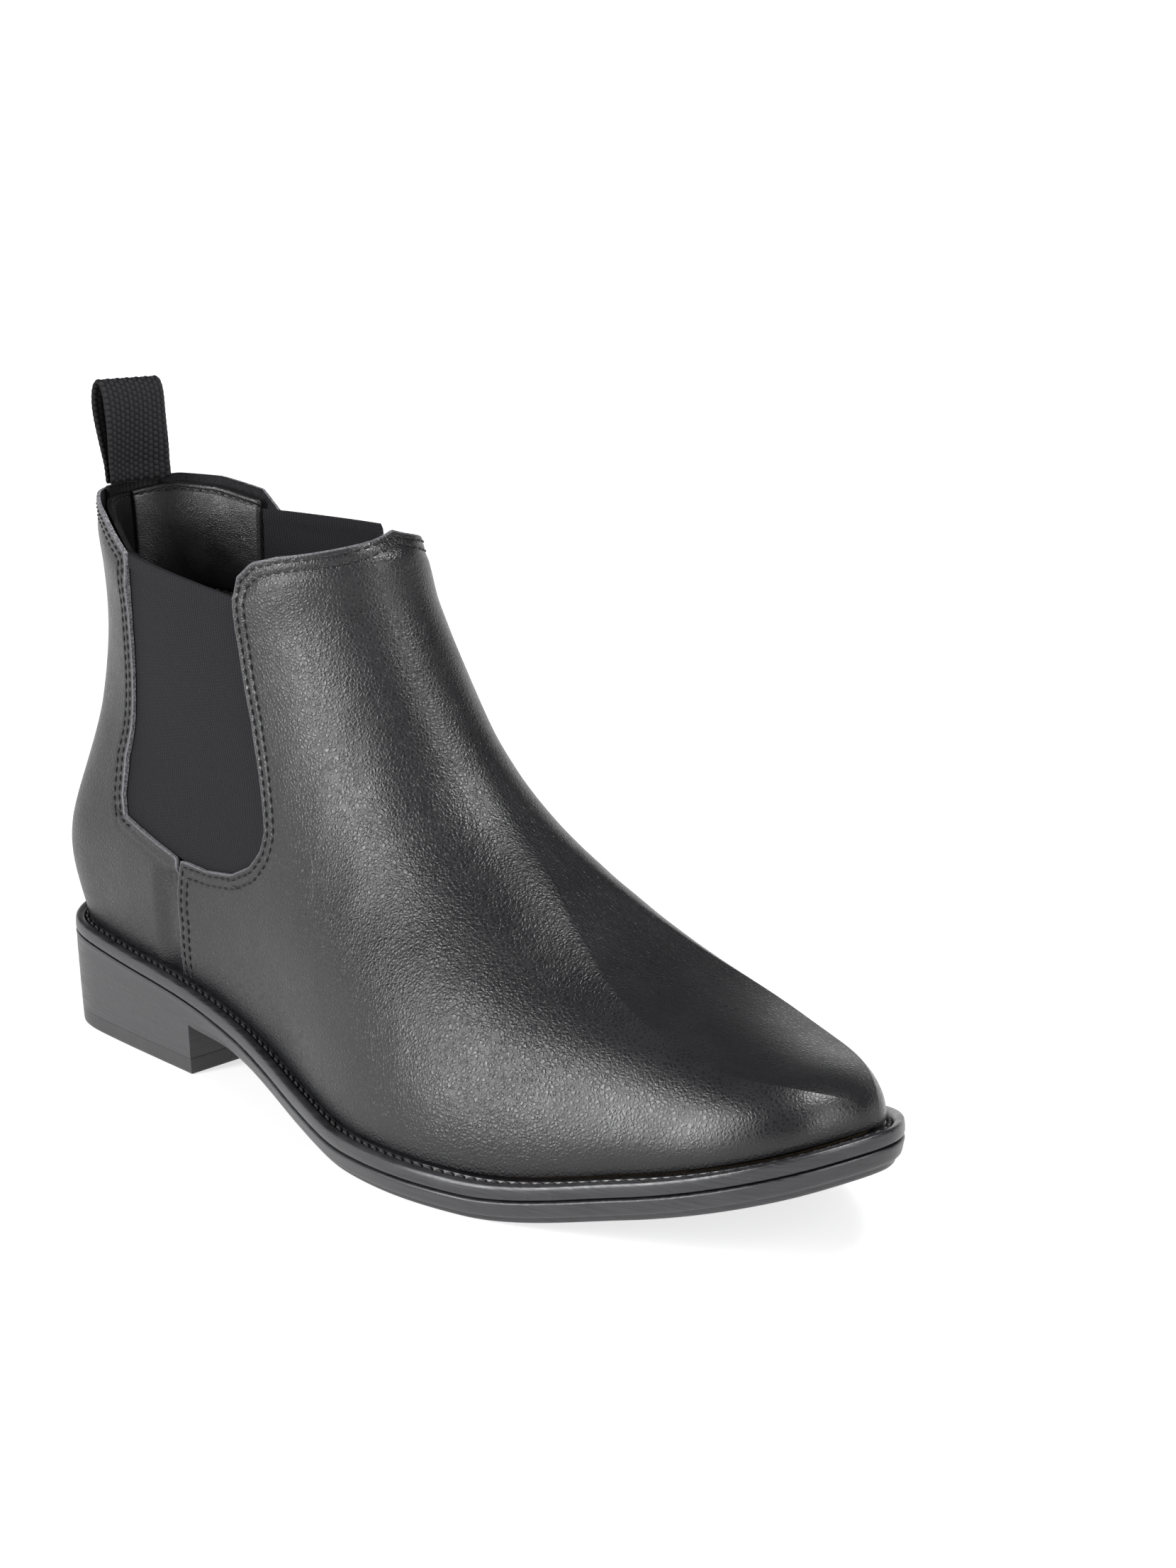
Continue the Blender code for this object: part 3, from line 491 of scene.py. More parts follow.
def leather_material():
    s = Shader("pebbled_leather", (0.008, 0.008, 0.009), 0.29)
    s.bsdf.inputs["Specular IOR Level"].default_value = 0.4
    drift = s.add("ShaderNodeTexNoise", {"Vector": s.place, "Scale": 420.0, "Detail": 2.0}).outputs["Color"]
    scaled = s.add("ShaderNodeVectorMath", {0: drift, "Scale": 0.0011}, operation="SCALE").outputs[0]
    wobble = s.add("ShaderNodeVectorMath", {0: s.place, 1: scaled}, operation="ADD").outputs[0]
    pebble = s.span(s.cells(900.0, "DISTANCE_TO_EDGE", wobble), 0.0, 0.34)
    fine = s.span(s.cells(2100.0, "F1", wobble), 0.0, 0.8, 1.0, 0.0)
    soft = s.noise(160.0, 4.0)
    toe = s.value("polish")
    height = s.plus(s.times(pebble, 0.75), s.times(fine, 0.35))
    strength_height = s.times(height, s.span(toe, 0.0, 1.0, 1.0, 0.45))
    normal = s.bump(strength_height, 0.075)
    normal = s.bump(soft, 0.09, 1.0, normal)
    seam = s.value("seam")
    # Lighter speckled colour within about half a millimetre of each panel edge: partly worn, fuzzy edge
    # leather, partly a painted glint.
    fuzz_and_glint = s.times(s.span(seam, 0.2, 0.75, 1.0, 0.0), s.noise(1500.0, 2.0))
    dust = s.times(s.noise(60.0, 5.0, 0.6), 0.35)
    patchy = s.times(s.span(s.noise(38.0, 3.0), 0.35, 0.7), 0.6)
    colour = s.blend(patchy, (0.0062, 0.0062, 0.0072), (0.0098, 0.0098, 0.0112))
    # Painted shade: the leather is darker in the grooves between the pebbles.
    colour = s.blend(s.times(s.math("SUBTRACT", 1.0, pebble), 0.45), colour, (0.004, 0.004, 0.0045))
    colour = s.blend(fuzz_and_glint, colour, (0.16, 0.16, 0.175))
    rough = s.plus(s.span(s.noise(90.0, 4.0), 0.3, 0.7, 0.23, 0.29), s.times(toe, -0.02))
    rough = s.plus(rough, s.times(s.math("SUBTRACT", 1.0, pebble), 0.12))
    rough = s.plus(rough, s.times(fuzz_and_glint, 0.4))
    rough = s.plus(rough, s.times(dust, 0.1))
    return s.finish(colour, rough, normal)


def cut_edge_material():
    s = Shader("cut_leather_edge", (0.1, 0.1, 0.11), 0.9)
    fibre = s.noise(1800.0, 4.0, 0.7)
    # The lighter fibres are partly the raw edge's own colour and partly a painted glint.
    colour = s.blend(s.span(fibre, 0.35, 0.7), (0.02, 0.02, 0.023), (0.26, 0.26, 0.28))
    return s.finish(colour, s.span(fibre, 0.2, 0.8, 0.75, 0.95), s.bump(fibre, 0.25))


def flesh_material():
    s = Shader("leather_flesh_side", (0.03, 0.03, 0.032), 0.9, Specular_IOR_Level=0.15)
    fibre = s.noise(1200.0, 5.0, 0.7)
    colour = s.blend(s.span(fibre, 0.3, 0.7), (0.006, 0.006, 0.0065), (0.02, 0.02, 0.022))
    return s.finish(colour, s.span(fibre, 0.2, 0.8, 0.8, 0.95), s.bump(fibre, 0.15))


def elastic_material():
    s = Shader("woven_elastic", (0.02, 0.02, 0.022), 0.8, Specular_IOR_Level=0.16)
    u, v = s.uv(1 / RIB_PITCH, 1 / PICK_PITCH)
    rib = s.math("ABSOLUTE", s.math("SINE", s.times(u, math.pi)))
    pick_at = s.plus(v, s.times(s.math("FLOOR", u), 0.5))
    pick = s.math("ABSOLUTE", s.math("SINE", s.times(pick_at, math.pi)))
    weave = s.plus(s.times(rib, 0.65), s.times(pick, 0.35))
    lint = s.noise(2500.0, 3.0, 0.7)
    # Painted shade: the elastic is darker where its weave sits low, between the ribs and picks.
    colour = s.blend(weave, (0.0025, 0.0025, 0.003), (0.0135, 0.0135, 0.0155))
    colour = s.blend(s.times(s.span(lint, 0.55, 0.8), 0.5), colour, (0.04, 0.04, 0.045))
    normal = s.bump(s.noise(2500.0, 2.0), 0.06, 1.0, s.bump(weave, 0.22))
    return s.finish(colour, s.span(lint, 0.2, 0.8, 0.72, 0.92), normal)


def webbing_material():
    s = Shader("nylon_webbing", (0.02, 0.02, 0.023), 0.55, Specular_IOR_Level=0.18)
    strands = s.uv(WEB_STRANDS, WEB_STRANDS)
    twist = s.math("SINE", s.times(s.plus(strands[0], s.times(strands[1], 0.8)), 2 * math.pi))
    lint = s.noise(2200.0, 3.0, 0.7)
    # Painted shade: the webbing is darker where its weave sits low, in the gaps between strands.
    low = s.value("weave")
    colour = s.blend(s.span(low, 0.1, 0.9), (0.001, 0.001, 0.0012), (0.016, 0.016, 0.018))
    colour = s.blend(s.times(s.span(lint, 0.5, 0.8), 0.4), colour, (0.03, 0.03, 0.034))
    return s.finish(colour, s.span(lint, 0.2, 0.8, 0.5, 0.7), s.bump(s.plus(s.times(twist, 0.5), lint), 0.06))


def thread_material(name, tone):
    s = Shader(name, tone, 0.5)
    u, v = s.uv(2.4, 1.0)
    ply = s.math("SINE", s.times(s.plus(u, v), 2 * math.pi))
    # Painted shade: the thread is darker in the grooves between its plies and lighter on their crests.
    colour = s.blend(s.span(ply, -1.0, 1.0), shade(tone, 0.5), shade(tone, 1.5))
    return s.finish(colour, s.span(s.noise(900.0), 0.3, 0.7, 0.42, 0.6), s.bump(ply, 0.07))


def lining_material():
    s = Shader("collar_lining_leather", (0.005, 0.005, 0.0055), 0.3, Specular_IOR_Level=0.32)
    fine = s.cells(1500.0, "DISTANCE_TO_EDGE")
    normal = s.bump(s.span(fine, 0.0, 0.3), 0.03, 1.0, s.bump(s.noise(110.0, 4.0), 0.3))
    colour = s.blend(s.noise(70.0, 4.0), (0.003, 0.003, 0.0033), (0.006, 0.006, 0.0066))
    return s.finish(colour, s.span(s.noise(150.0, 3.0), 0.3, 0.7, 0.3, 0.42), normal)


def cloth_material(name, tone, pitch):
    s = Shader(name, tone, 0.9, Specular_IOR_Level=0.1)
    u, v = s.uv(1 / pitch, 1 / pitch)
    one = s.math("SINE", s.times(u, math.pi))
    two = s.math("SINE", s.times(v, math.pi))
    weave = s.times(one, two)
    lint = s.noise(1800.0, 3.0, 0.7)
    # Painted shade: the sunken cells of the weave are darker and the raised ones lighter.
    colour = s.blend(s.span(weave, -1.0, 1.0), shade(tone, 0.6), shade(tone, 1.5))
    return s.finish(colour, s.span(lint, 0.2, 0.8, 0.8, 0.96), s.bump(s.plus(weave, lint), 0.12))


def edge_material(name, tone, rough, scratch):
    """Dyed and burnished sole edge, with fine lines that run along it."""
    s = Shader(name, tone, rough)
    flat = s.add("ShaderNodeVectorMath", {0: s.place, 1: (1.0, 1.0, 22.0)}, operation="MULTIPLY").outputs[0]
    lines = s.noise(90.0, 5.0, 0.65, flat)
    spots = s.noise(420.0, 4.0, 0.6)
    colour = s.blend(s.span(lines, 0.3, 0.7), shade(tone, 0.65), shade(tone, 1.5))
    colour = s.blend(s.times(s.span(spots, 0.6, 0.8), 0.35), colour, (0.045, 0.045, 0.05))
    mixed = s.plus(s.times(lines, scratch), s.times(spots, 0.25))
    return s.finish(colour, s.span(lines, 0.25, 0.75, rough - 0.07, rough + 0.13), s.bump(mixed, 0.22))


def rubber_material(name, tone, rough):
    s = Shader(name, tone, rough)
    grit = s.noise(1400.0, 4.0, 0.65)
    scuff = s.noise(55.0, 5.0, 0.7)
    colour = s.blend(s.times(s.span(scuff, 0.45, 0.75), 0.7), tone, shade(tone, 2.1))
    return s.finish(colour, s.span(scuff, 0.3, 0.7, rough - 0.05, rough + 0.12), s.bump(grit, 0.08))


def grained_material(name, dark, light, scale, rough, depth=0.2, metallic=0.0):
    """Plain inner materials: board, cork, foam, stiffener and metal."""
    s = Shader(name, dark, rough, Metallic=metallic)
    grain = s.noise(scale, 5.0, 0.65)
    cells = s.cells(scale * 0.8)
    colour = s.blend(s.span(s.plus(grain, s.times(cells, 0.3)), 0.4, 0.9), dark, light)
    return s.finish(colour, s.span(grain, 0.2, 0.8, rough - 0.08, rough + 0.08), s.bump(grain, depth))


RIB_PITCH, PICK_PITCH = 1.05, 0.8
WEB_STRANDS = 2.2


# Mesh building
def grid_quads(rows, cols, first=0, wrap=False):
    r = np.arange(rows - 1)[:, None]
    c = np.arange(cols if wrap else cols - 1)[None]
    d = (c + 1) % cols
    corners = np.broadcast_arrays(r * cols + c, r * cols + d, (r + 1) * cols + d, (r + 1) * cols + c)
    return np.stack(corners, -1).reshape(-1, 4) + first


def build(name, points, faces, mats, slot, index=None, uv=None, values=None, body="boot", sharp=50):
    """A piece from design points in millimetres; uv is in millimetres, values are named point values."""
    points = (np.array(points, float).reshape(-1, 3) - np.array([CENTRE[0], CENTRE[1], 0])) * MM
    mesh = bpy.data.meshes.new(name)
    mesh.from_pydata(points.tolist(), [], [list(f) for f in faces])
    for mat in mats:
        mesh.materials.append(mat)
    if index is not None:
        mesh.polygons.foreach_set("material_index", np.array(index, np.int32))
    corner = np.empty(len(mesh.loops), np.int32)
    mesh.loops.foreach_get("vertex_index", corner)
    if uv is not None:
        layer = mesh.uv_layers.new(name="mm")
        layer.data.foreach_set("uv", np.array(uv, float).reshape(-1, 2)[corner].ravel())
    for key, value in (values or {}).items():
        attribute = mesh.attributes.new(key, "FLOAT", "POINT")
        attribute.data.foreach_set("value", np.array(value, np.float32).ravel())
    mesh.validate()
    obj = bpy.data.objects.new(name, mesh)
    bpy.context.scene.collection.objects.link(obj)
    mesh.shade_smooth()
    mesh.set_sharp_from_angle(angle=math.radians(sharp))
    if body:
        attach(obj, body)
    return obj


def lengths_uv(grid):
    """(u, v) in millimetres over a grid of points, measured along its middle column and each row."""
    across = np.linalg.norm(np.diff(grid, axis=1), axis=2)
    u = np.concatenate([np.zeros((len(grid), 1)), np.cumsum(across, 1)], 1)
    u = u - u[:, u.shape[1] // 2][:, None]
    up = np.linalg.norm(np.diff(grid, axis=0), axis=2).mean(1)
    v = np.broadcast_to(np.concatenate([[0], np.cumsum(up)])[:, None], u.shape)
    return np.stack([u, v], -1)


def slab(name, outer, inner, mats, slot, values=None, sharp=50, **more):
    """A closed sheet between two grids of points; materials are outer face, inner face and cut edge."""
    rows, cols = outer.shape[:2]
    count = rows * cols
    front = grid_quads(rows, cols)
    back = grid_quads(rows, cols, count)[:, ::-1]
    low, side = np.arange(cols), np.arange(1, rows) * cols
    border = np.concatenate([low, side + cols - 1, (rows - 1) * cols + low[-2::-1], side[-2::-1]])
    ahead = np.roll(border, -1)
    rim_faces = np.stack([ahead, border, border + count, ahead + count], 1)
    faces = np.vstack([front, back, rim_faces])
    index = np.repeat([0, min(1, len(mats) - 1), len(mats) - 1], [len(front), len(back), len(rim_faces)])
    uv = lengths_uv(outer)
    both = {key: np.concatenate([value.ravel(), value.ravel()]) for key, value in (values or {}).items()}
    return build(name, np.vstack([outer.reshape(-1, 3), inner.reshape(-1, 3)]), faces, mats, slot,
                 index, np.vstack([uv.reshape(-1, 2)] * 2), both, sharp=sharp, **more)


def hoop(name, rings, mats, slot, closed=True, **more):
    """A body through rings round the outline: a closed profile makes a hoop, an open one gets caps."""
    rows, cols = len(rings), len(rings[0])
    faces = [grid_quads(rows, cols, wrap=True)]
    step = np.arange(cols)
    if closed:
        last = (rows - 1) * cols
        faces.append(np.stack([last + step, last + (step + 1) % cols, (step + 1) % cols, step], 1))
    else:
        half = np.arange(cols // 2 - 1)
        quad = np.stack([half, half + 1, cols - 2 - half, cols - 1 - half], 1)
        faces += [quad, (quad + (rows - 1) * cols)[:, ::-1]]
    grid = np.array(rings)
    run = lengths_along(grid[0])
    depth = np.concatenate([[0], np.cumsum(np.linalg.norm(np.diff(grid, axis=0), axis=2).mean(1))])
    uv = np.stack(np.meshgrid(run, depth), -1)
    return build(name, grid, np.vstack(faces), mats, slot, uv=uv, **more)


def tube(paths, radii, sides=6):
    """Points and faces of closed tubes along several paths; radii is one number for each path point."""
    paths = np.array(paths, float)
    count, steps = paths.shape[:2]
    ahead = unit(np.gradient(paths, axis=1))
    side = unit(np.cross(ahead, np.array([0.31, 0.23, 0.92])))
    up = np.cross(side, ahead)
    angle = 2 * np.pi * np.arange(sides) / sides
    ring = side[:, :, None] * np.cos(angle)[:, None] + up[:, :, None] * np.sin(angle)[:, None]
    points = paths[:, :, None] + ring * np.broadcast_to(radii, (count, steps))[:, :, None, None]
    one = grid_quads(steps, sides, wrap=True)
    caps = [list(range(sides))[::-1], [(steps - 1) * sides + k for k in range(sides)]]
    faces = []
    for k in range(count):
        base = k * steps * sides
        faces += (one + base).tolist() + [[base + i for i in cap] for cap in caps]
    u = np.broadcast_to(np.linspace(0, 1, steps)[None, :, None] * 3, points.shape[:3])
    v = np.broadcast_to((np.arange(sides) / sides)[None, None], points.shape[:3])
    return points.reshape(-1, 3), faces, np.stack([u, v], -1).reshape(-1, 2)


def resample(path, pitch):
    run = lengths_along(path)
    at = np.linspace(0, run[-1], max(2, int(round(run[-1] / pitch)) + 1))
    return np.stack([np.interp(at, run, path[:, k]) for k in range(path.shape[1])], 1)


def stitches(name, lines, mat, slot, pitch=2.8, gap=0.75, radius=0.3, lift=0.3, **more):
    """Rows of sewing stitches; each line is an array of rows (position, outward normal)."""
    paths = []
    wave = np.sin(np.pi * np.linspace(0.06, 0.94, 7)) ** 0.7
    for line in lines:
        dots = resample(line, pitch / 12)
        count = (len(dots) - 1) // 12
        for k in range(count):
            share = np.linspace(gap / pitch / 2, 1 - gap / pitch / 2, 7) * 12 + 12 * k
            low = np.clip(share.astype(int), 0, len(dots) - 2)
            row = dots[low] + (dots[low + 1] - dots[low]) * (share - low)[:, None]
            paths.append(row[:, :3] + unit(row[:, 3:]) * (wave * lift * 1.6 - 0.28)[:, None])
    shape = np.array([0.5, 0.85, 1, 1, 1, 0.85, 0.5]) * radius
    points, faces, uv = tube(paths, shape)
    return build(name, points, faces, [mat], slot, uv=uv, **more)


def edge_distance(points, line):
    """Distance from each grid point to a polyline, in millimetres."""
    line = resample(line, 0.3)
    tree = kdtree.KDTree(len(line))
    for i, p in enumerate(line):
        tree.insert(p, i)
    tree.balance()
    flat = points.reshape(-1, 3)
    return np.array([tree.find(p)[2] for p in flat]).reshape(points.shape[:2])


def edges_of(grid):
    return {"left": grid[:, 0], "right": grid[:, -1], "top": grid[-1], "bottom": grid[0]}


def crossing(values, reach, d):
    """Where each line of the grid, read away from its edge, is d from that edge."""
    k = np.argmax(reach > d, axis=1)
    k = np.maximum(k, 1)
    rows = np.arange(len(reach))
    f = (d - reach[rows, k - 1]) / np.maximum(reach[rows, k] - reach[rows, k - 1], 1e-6)
    return values[rows, k - 1] * (1 - f)[:, None] + values[rows, k] * f[:, None]


def inset_line(data, near, d):
    """The line d inside the left, top and right edges; data has position, normal and a, t."""
    def row(values, reach, other):
        keep = crossing(other[..., None], reach, d)[:, 0] > d
        return crossing(values, reach, d)[keep]

    sides = np.minimum(near["left"], near["right"])
    left = row(data, near["left"], near["top"])
    top = row(data.transpose(1, 0, 2)[:, ::-1], near["top"].T[:, ::-1], sides.T[:, ::-1])
    right = row(data[:, ::-1], near["right"][:, ::-1], near["top"][:, ::-1])
    return np.vstack([left, top, right[::-1]])


def normals_of(grid):
    n = np.cross(np.gradient(grid, axis=1), np.gradient(grid, axis=0))
    return n / np.maximum(np.linalg.norm(n, axis=-1, keepdims=True), 1e-9)


def soft_noise(points, size, seed):
    """Smooth noise from -1 to 1 at each point, with features of the given size in millimetres."""
    flat = points.reshape(-1, 3) / size + seed * 7.31
    return np.array([noise.noise(p) for p in flat]).reshape(points.shape[:-1])


# Upper
def dense(count, pull=0.55):
    """Shares from 0 to 1, closer together near both ends."""
    c = np.linspace(0, 1, count)
    return c - pull * np.sin(2 * np.pi * c) / (2 * np.pi)


def refine(grid, rows, cols):
    """A finer version of a coarse (a, t) grid; its own rows and columns stay on it."""
    r_old, c_old = np.linspace(0, 1, grid.shape[0]), np.linspace(0, 1, grid.shape[1])
    c_new = dense(cols)
    wide = np.stack([[np.interp(c_new, c_old, row[:, k]) for row in grid] for k in (0, 1)], -1)
    r_new = dense(rows, 0.35)
    fine = [[np.interp(r_new, r_old, wide[:, c, k]) for c in range(cols)] for k in (0, 1)]
    return np.stack(fine, -1).transpose(1, 0, 2)


def groove(distance, at, width=0.55):
    return np.exp(-((distance - at) / width) ** 2)


def upper_panel(name, grid, depth, rows_at, mats, offset=None, thick=LEATHER, bend=None):
    """A leather panel with pressed-in stitch rows; returns its object and the stitch lines."""
    base = on_upper(grid, depth)
    if bend is not None:
        depth = depth + bend(base)
        base = on_upper(grid, depth)
    borders = edges_of(base)
    near = {key: edge_distance(base, borders[key]) for key in ("left", "right", "top")}
    seam = np.minimum(np.minimum(near["left"], near["right"]), near["top"])
    lift = -0.22 * sum(groove(seam, d) for d in rows_at) - 0.35 * np.clip(1 - seam / 0.7, 0, 1) ** 2
    puffed = 0.45 * smooth((near["top"] - rows_at[-1]) / 3.5) * (1 - smooth((near["top"] - 9) / 10))
    lift = lift + puffed + (0 if offset is None else offset(base))
    outer = on_upper(grid, depth - lift)
    inner = on_upper(grid, depth + thick)
    polish = smooth((base[..., 0] - 205) / 50)
    obj = slab(name, outer, inner, mats, "upper_leather", {"seam": seam, "polish": polish})
    data = np.concatenate([outer, -normals_of(outer), grid], -1)
    centre = grid.shape[0] // 2, grid.shape[1] // 2
    if data[centre][3:6] @ (outer - inner)[centre] < 0:
        data[..., 3:6] *= -1
    return obj, [inset_line(data, near, d) for d in rows_at]


def tip_curl(base):
    """The front of the topline rolls in over the instep."""
    y = base[..., 1]
    return 3.2 * smooth((base[..., 2] - 150) / 9) ** 2 * np.exp(-((y + 1) / 11) ** 2)


def vamp_creases(base):
    x, y, z = base[..., 0], base[..., 1], base[..., 2]
    flex = smooth((x - 105) / 40) * (1 - smooth((x - 190) / 35)) * smooth((z - 22) / 15)
    stretched = np.stack([x / 1.0, y / 3.2, z / 1.6], -1)
    wrinkle = soft_noise(stretched, 8.5, 3) * 0.13 + soft_noise(stretched, 4.2, 5) * 0.035
    broad = soft_noise(base, 34, 1) * 0.7 * (1 - smooth((x - 190) / 50))
    shaft = soft_noise(np.stack([x, y, z / 2.2], -1), 12, 8) * 0.1 * smooth((z - 70) / 30)
    return wrinkle * flex + broad + shaft


def quarter_creases(base):
    z = base[..., 2]
    broad = soft_noise(base, 24, 11) * 0.45 * smooth((z - 40) / 30)
    fine = soft_noise(np.stack([base[..., 0], base[..., 1], base[..., 2] / 2], -1), 8, 14) * 0.07
    return broad + fine * smooth((z - 50) / 20)


def make_upper(mats):
    skin = [mats["leather"], mats["flesh"], mats["cut"]]
    rows = [2, 3, 4] + [1] * 12
    coarse = front_grid([n * 3 for n in rows], 65, low=0.004)
    vamp, vamp_rows = upper_panel("upper_vamp", refine(coarse, 190, 420), 0.0, (1.6, 4.2), skin, vamp_creases,
                                  bend=tip_curl)
    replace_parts(vamp, "vamp")
    coarse = quarter_grid([n * 4 for n in (3, 1, 1, 2, 1, 2, 3, 2, 2)], 61, low=0.004)
    fine = refine(coarse, 190, 260)
    quarter, quarter_rows = upper_panel("upper_back_quarter", fine, quarter_depth(fine), (2.0, 4.5), skin,
                                        quarter_creases)
    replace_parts(quarter, "back_quarter")
    shown = []
    for line in quarter_rows:
        covered = (line[:, 7] < SEAM_TOP + 0.012)
        first, last = np.argmax(~covered), len(line) - np.argmax(~covered[::-1])
        shown.append(line[first:last, :6])
    stitches("stitching_vamp", [line[:, :6] for line in vamp_rows], mats["thread"], "upper_leather")
    stitches("stitching_back_quarter", shown, mats["thread"], "upper_leather")
    for side, name in ((1, "lateral"), (-1, "medial")):
        make_gore(side, name, mats)


def make_gore(side, name, mats):
    grid = refine(gore_grid(side, 25), 120, 120)
    base = on_upper(grid, UNDER)
    top = edge_distance(base, base[-1])
    hem = 0.55 * (1 - smooth((top - 3.4) / 0.9)) * np.sqrt(np.clip(top / 1.2, 0, 1))
    sag = 0.35 * soft_noise(base, 20, 21 + side)
    outer = on_upper(grid, UNDER - hem + 0.15 * np.abs(sag))
    inner = on_upper(grid, UNDER_IN - 0.1 + hem * 0.4)
    gore = slab("elastic_gore_" + name, outer, inner, [mats["elastic"]], "elastic")
    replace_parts(gore, "gore_" + name)


def make_linings(mats):
    front = refine(front_grid([3, 3, 6] + [2] * 12, 41, shift=1.5, low=0.03, drop=0.015), 90, 160)
    for name, node, grid in (("lining_vamp", "vamp_lining", front),
                             ("lining_heel", "heel_lining", back_grid(52, 0.03, 0.74, 90, 110))):
        outer, inner = on_upper(grid, LINING - 0.1), on_upper(grid, LINING_IN)
        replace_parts(slab(name, outer, inner, [mats["textile"]], "textile_lining"), node)
    make_collar(mats)


COLLAR_ROWS, COLLAR_COLS = 90, 130
COLLAR_DROP = 0.018


def collar_grid(top_edge):
    """One half of the collar, from the centre back to x = 47, just below the quarter's top edge."""
    edge = np.array([(0.0, BACK_TOP)] + [(abs(a), t) for a, t in on_side(top_edge, 1)])
    grid = back_grid(47, 0.745, 0.93, COLLAR_ROWS, COLLAR_COLS, start=0.006)
    top = np.interp(grid[-1, :, 0], edge[:, 0], edge[:, 1]) - COLLAR_DROP
    share = np.linspace(0, 1, COLLAR_ROWS)[:, None]
    grid[..., 1] = 0.745 + (top - 0.745)[None] * share
    return grid


def make_collar(mats):
    """Padded collar halves that meet in a seam at the centre back."""
    lines = []
    for name, flip in (("lateral", False), ("medial", True)):
        grid = collar_grid(QUARTER_TOP_MEDIAL if flip else QUARTER_TOP_LATERAL[::-1])
        grid = mirrored(grid) if flip else grid
        swollen = swell(grid.shape) ** 0.55
        base = on_upper(grid, LINING_IN)
        rows = np.linspace(0, 1, COLLAR_ROWS)[:, None]
        dip = groove(rows, 0.94, 0.014) * 0.4 + groove(rows, 0.06, 0.014) * 0.4
        pad = PUFF * 1.15 * swollen * (1 + 0.16 * soft_noise(base, 11, 31)) - dip
        inner = on_upper(grid, LINING_IN - 0.35 + pad)
        outer = on_upper(grid, 3.05)
        collar = slab("padded_collar_" + name, outer, inner, [mats["lining"]], "collar_lining", sharp=70)
        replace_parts(collar, "collar_lining_" + name, "collar_padding_" + name)
        towards = unit(inner - outer)
        for row in (int(0.94 * COLLAR_ROWS), int(0.06 * COLLAR_ROWS)):
            lines.append(np.concatenate([inner[row], towards[row]], -1)[3:-3])
    stitches("stitching_collar", lines, mats["thread"], "collar_lining", radius=0.25, pitch=2.6)


# Sole unit
def ring_at(inset, height, x_end=None):
    flat = rim(inset, x_end)
    z = height(flat[:, 0]) if callable(height) else sole_bottom(flat[:, 0]) + height
    return np.column_stack([flat, z])


def tread_ring(inset, height):
    """A ring of the outsole, whose edge steps in under the forepart and stays flush over the heel."""
    stepped, flush = ring_at(inset, height), ring_at(inset if inset > 5 else min(inset, 0.15), height)
    share = smooth((stepped[:, :1] - HEEL_BREAST - 2) / 18)
    return flush + (stepped - flush) * share


def make_sole(mats):
    tread = [(9, 0.0), (3.2, 0.0), (2.5, 0.15), (2.1, 0.5), (1.95, 1.0), (1.9, 1.55),
             (1.75, 1.8), (1.35, 1.9)]
    side = [(0.95, 2.0), (0.7, 2.25), (0.5, 2.8), (0.35, 3.5), (0.22, 4.3), (0.08, 5.0), (0.0, 5.5),
            (0.05, 5.8), (0.25, 6.05), (0.6, SOLE_THICK), (9, SOLE_THICK)]
    rings = [tread_ring(i, h) for i, h in tread + side]
    sole = hoop("moulded_outsole", rings, [mats["rubber"]], "sole_rubber", closed=False)
    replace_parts(sole, "outsole")
    rim_line = [(13, WELT_LOW), (1.0, WELT_LOW), (0.45, WELT_LOW + 0.1), (0.12, WELT_LOW + 0.4),
                (0.0, WELT_LOW + 0.9), (0.02, WELT_LOW + 2), (0.1, WELT_TOP - 1.2), (0.22, WELT_TOP - 0.6),
                (0.5, WELT_TOP - 0.2), (0.9, WELT_TOP), (1.6, WELT_TOP + 0.02), (2.2, WELT_TOP - 0.05),
                (2.65, WELT_TOP - 0.3), (CHANNEL_OUT, CHANNEL_FLOOR + 0.3), (3.3, CHANNEL_FLOOR),
                (CHANNEL_IN - 0.3, CHANNEL_FLOOR), (CHANNEL_IN - 0.05, CHANNEL_FLOOR + 0.4),
                (CHANNEL_IN + 0.15, WELT_LIP - 0.1), (CHANNEL_IN + 0.5, WELT_LIP), (13, WELT_LIP)]
    welt = hoop("stitched_welt", [ring_at(i, h) for i, h in rim_line], [mats["welt"]], "welt_strip")
    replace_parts(welt, "welt")
    line = ring_at((CHANNEL_OUT + CHANNEL_IN) / 2, CHANNEL_FLOOR + 0.2)
    line = np.vstack([line, line[:1]])
    up = np.tile([0.0, 0.0, 1.0], (len(line), 1))
    thread = stitches("stitching_welt", [np.hstack([line, up])], mats["waxed"], "welt_thread",
                      pitch=3.3, gap=1.25, radius=0.5, lift=0.5)
    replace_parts(thread, "welt_thread")


HEEL_LEVELS = 44


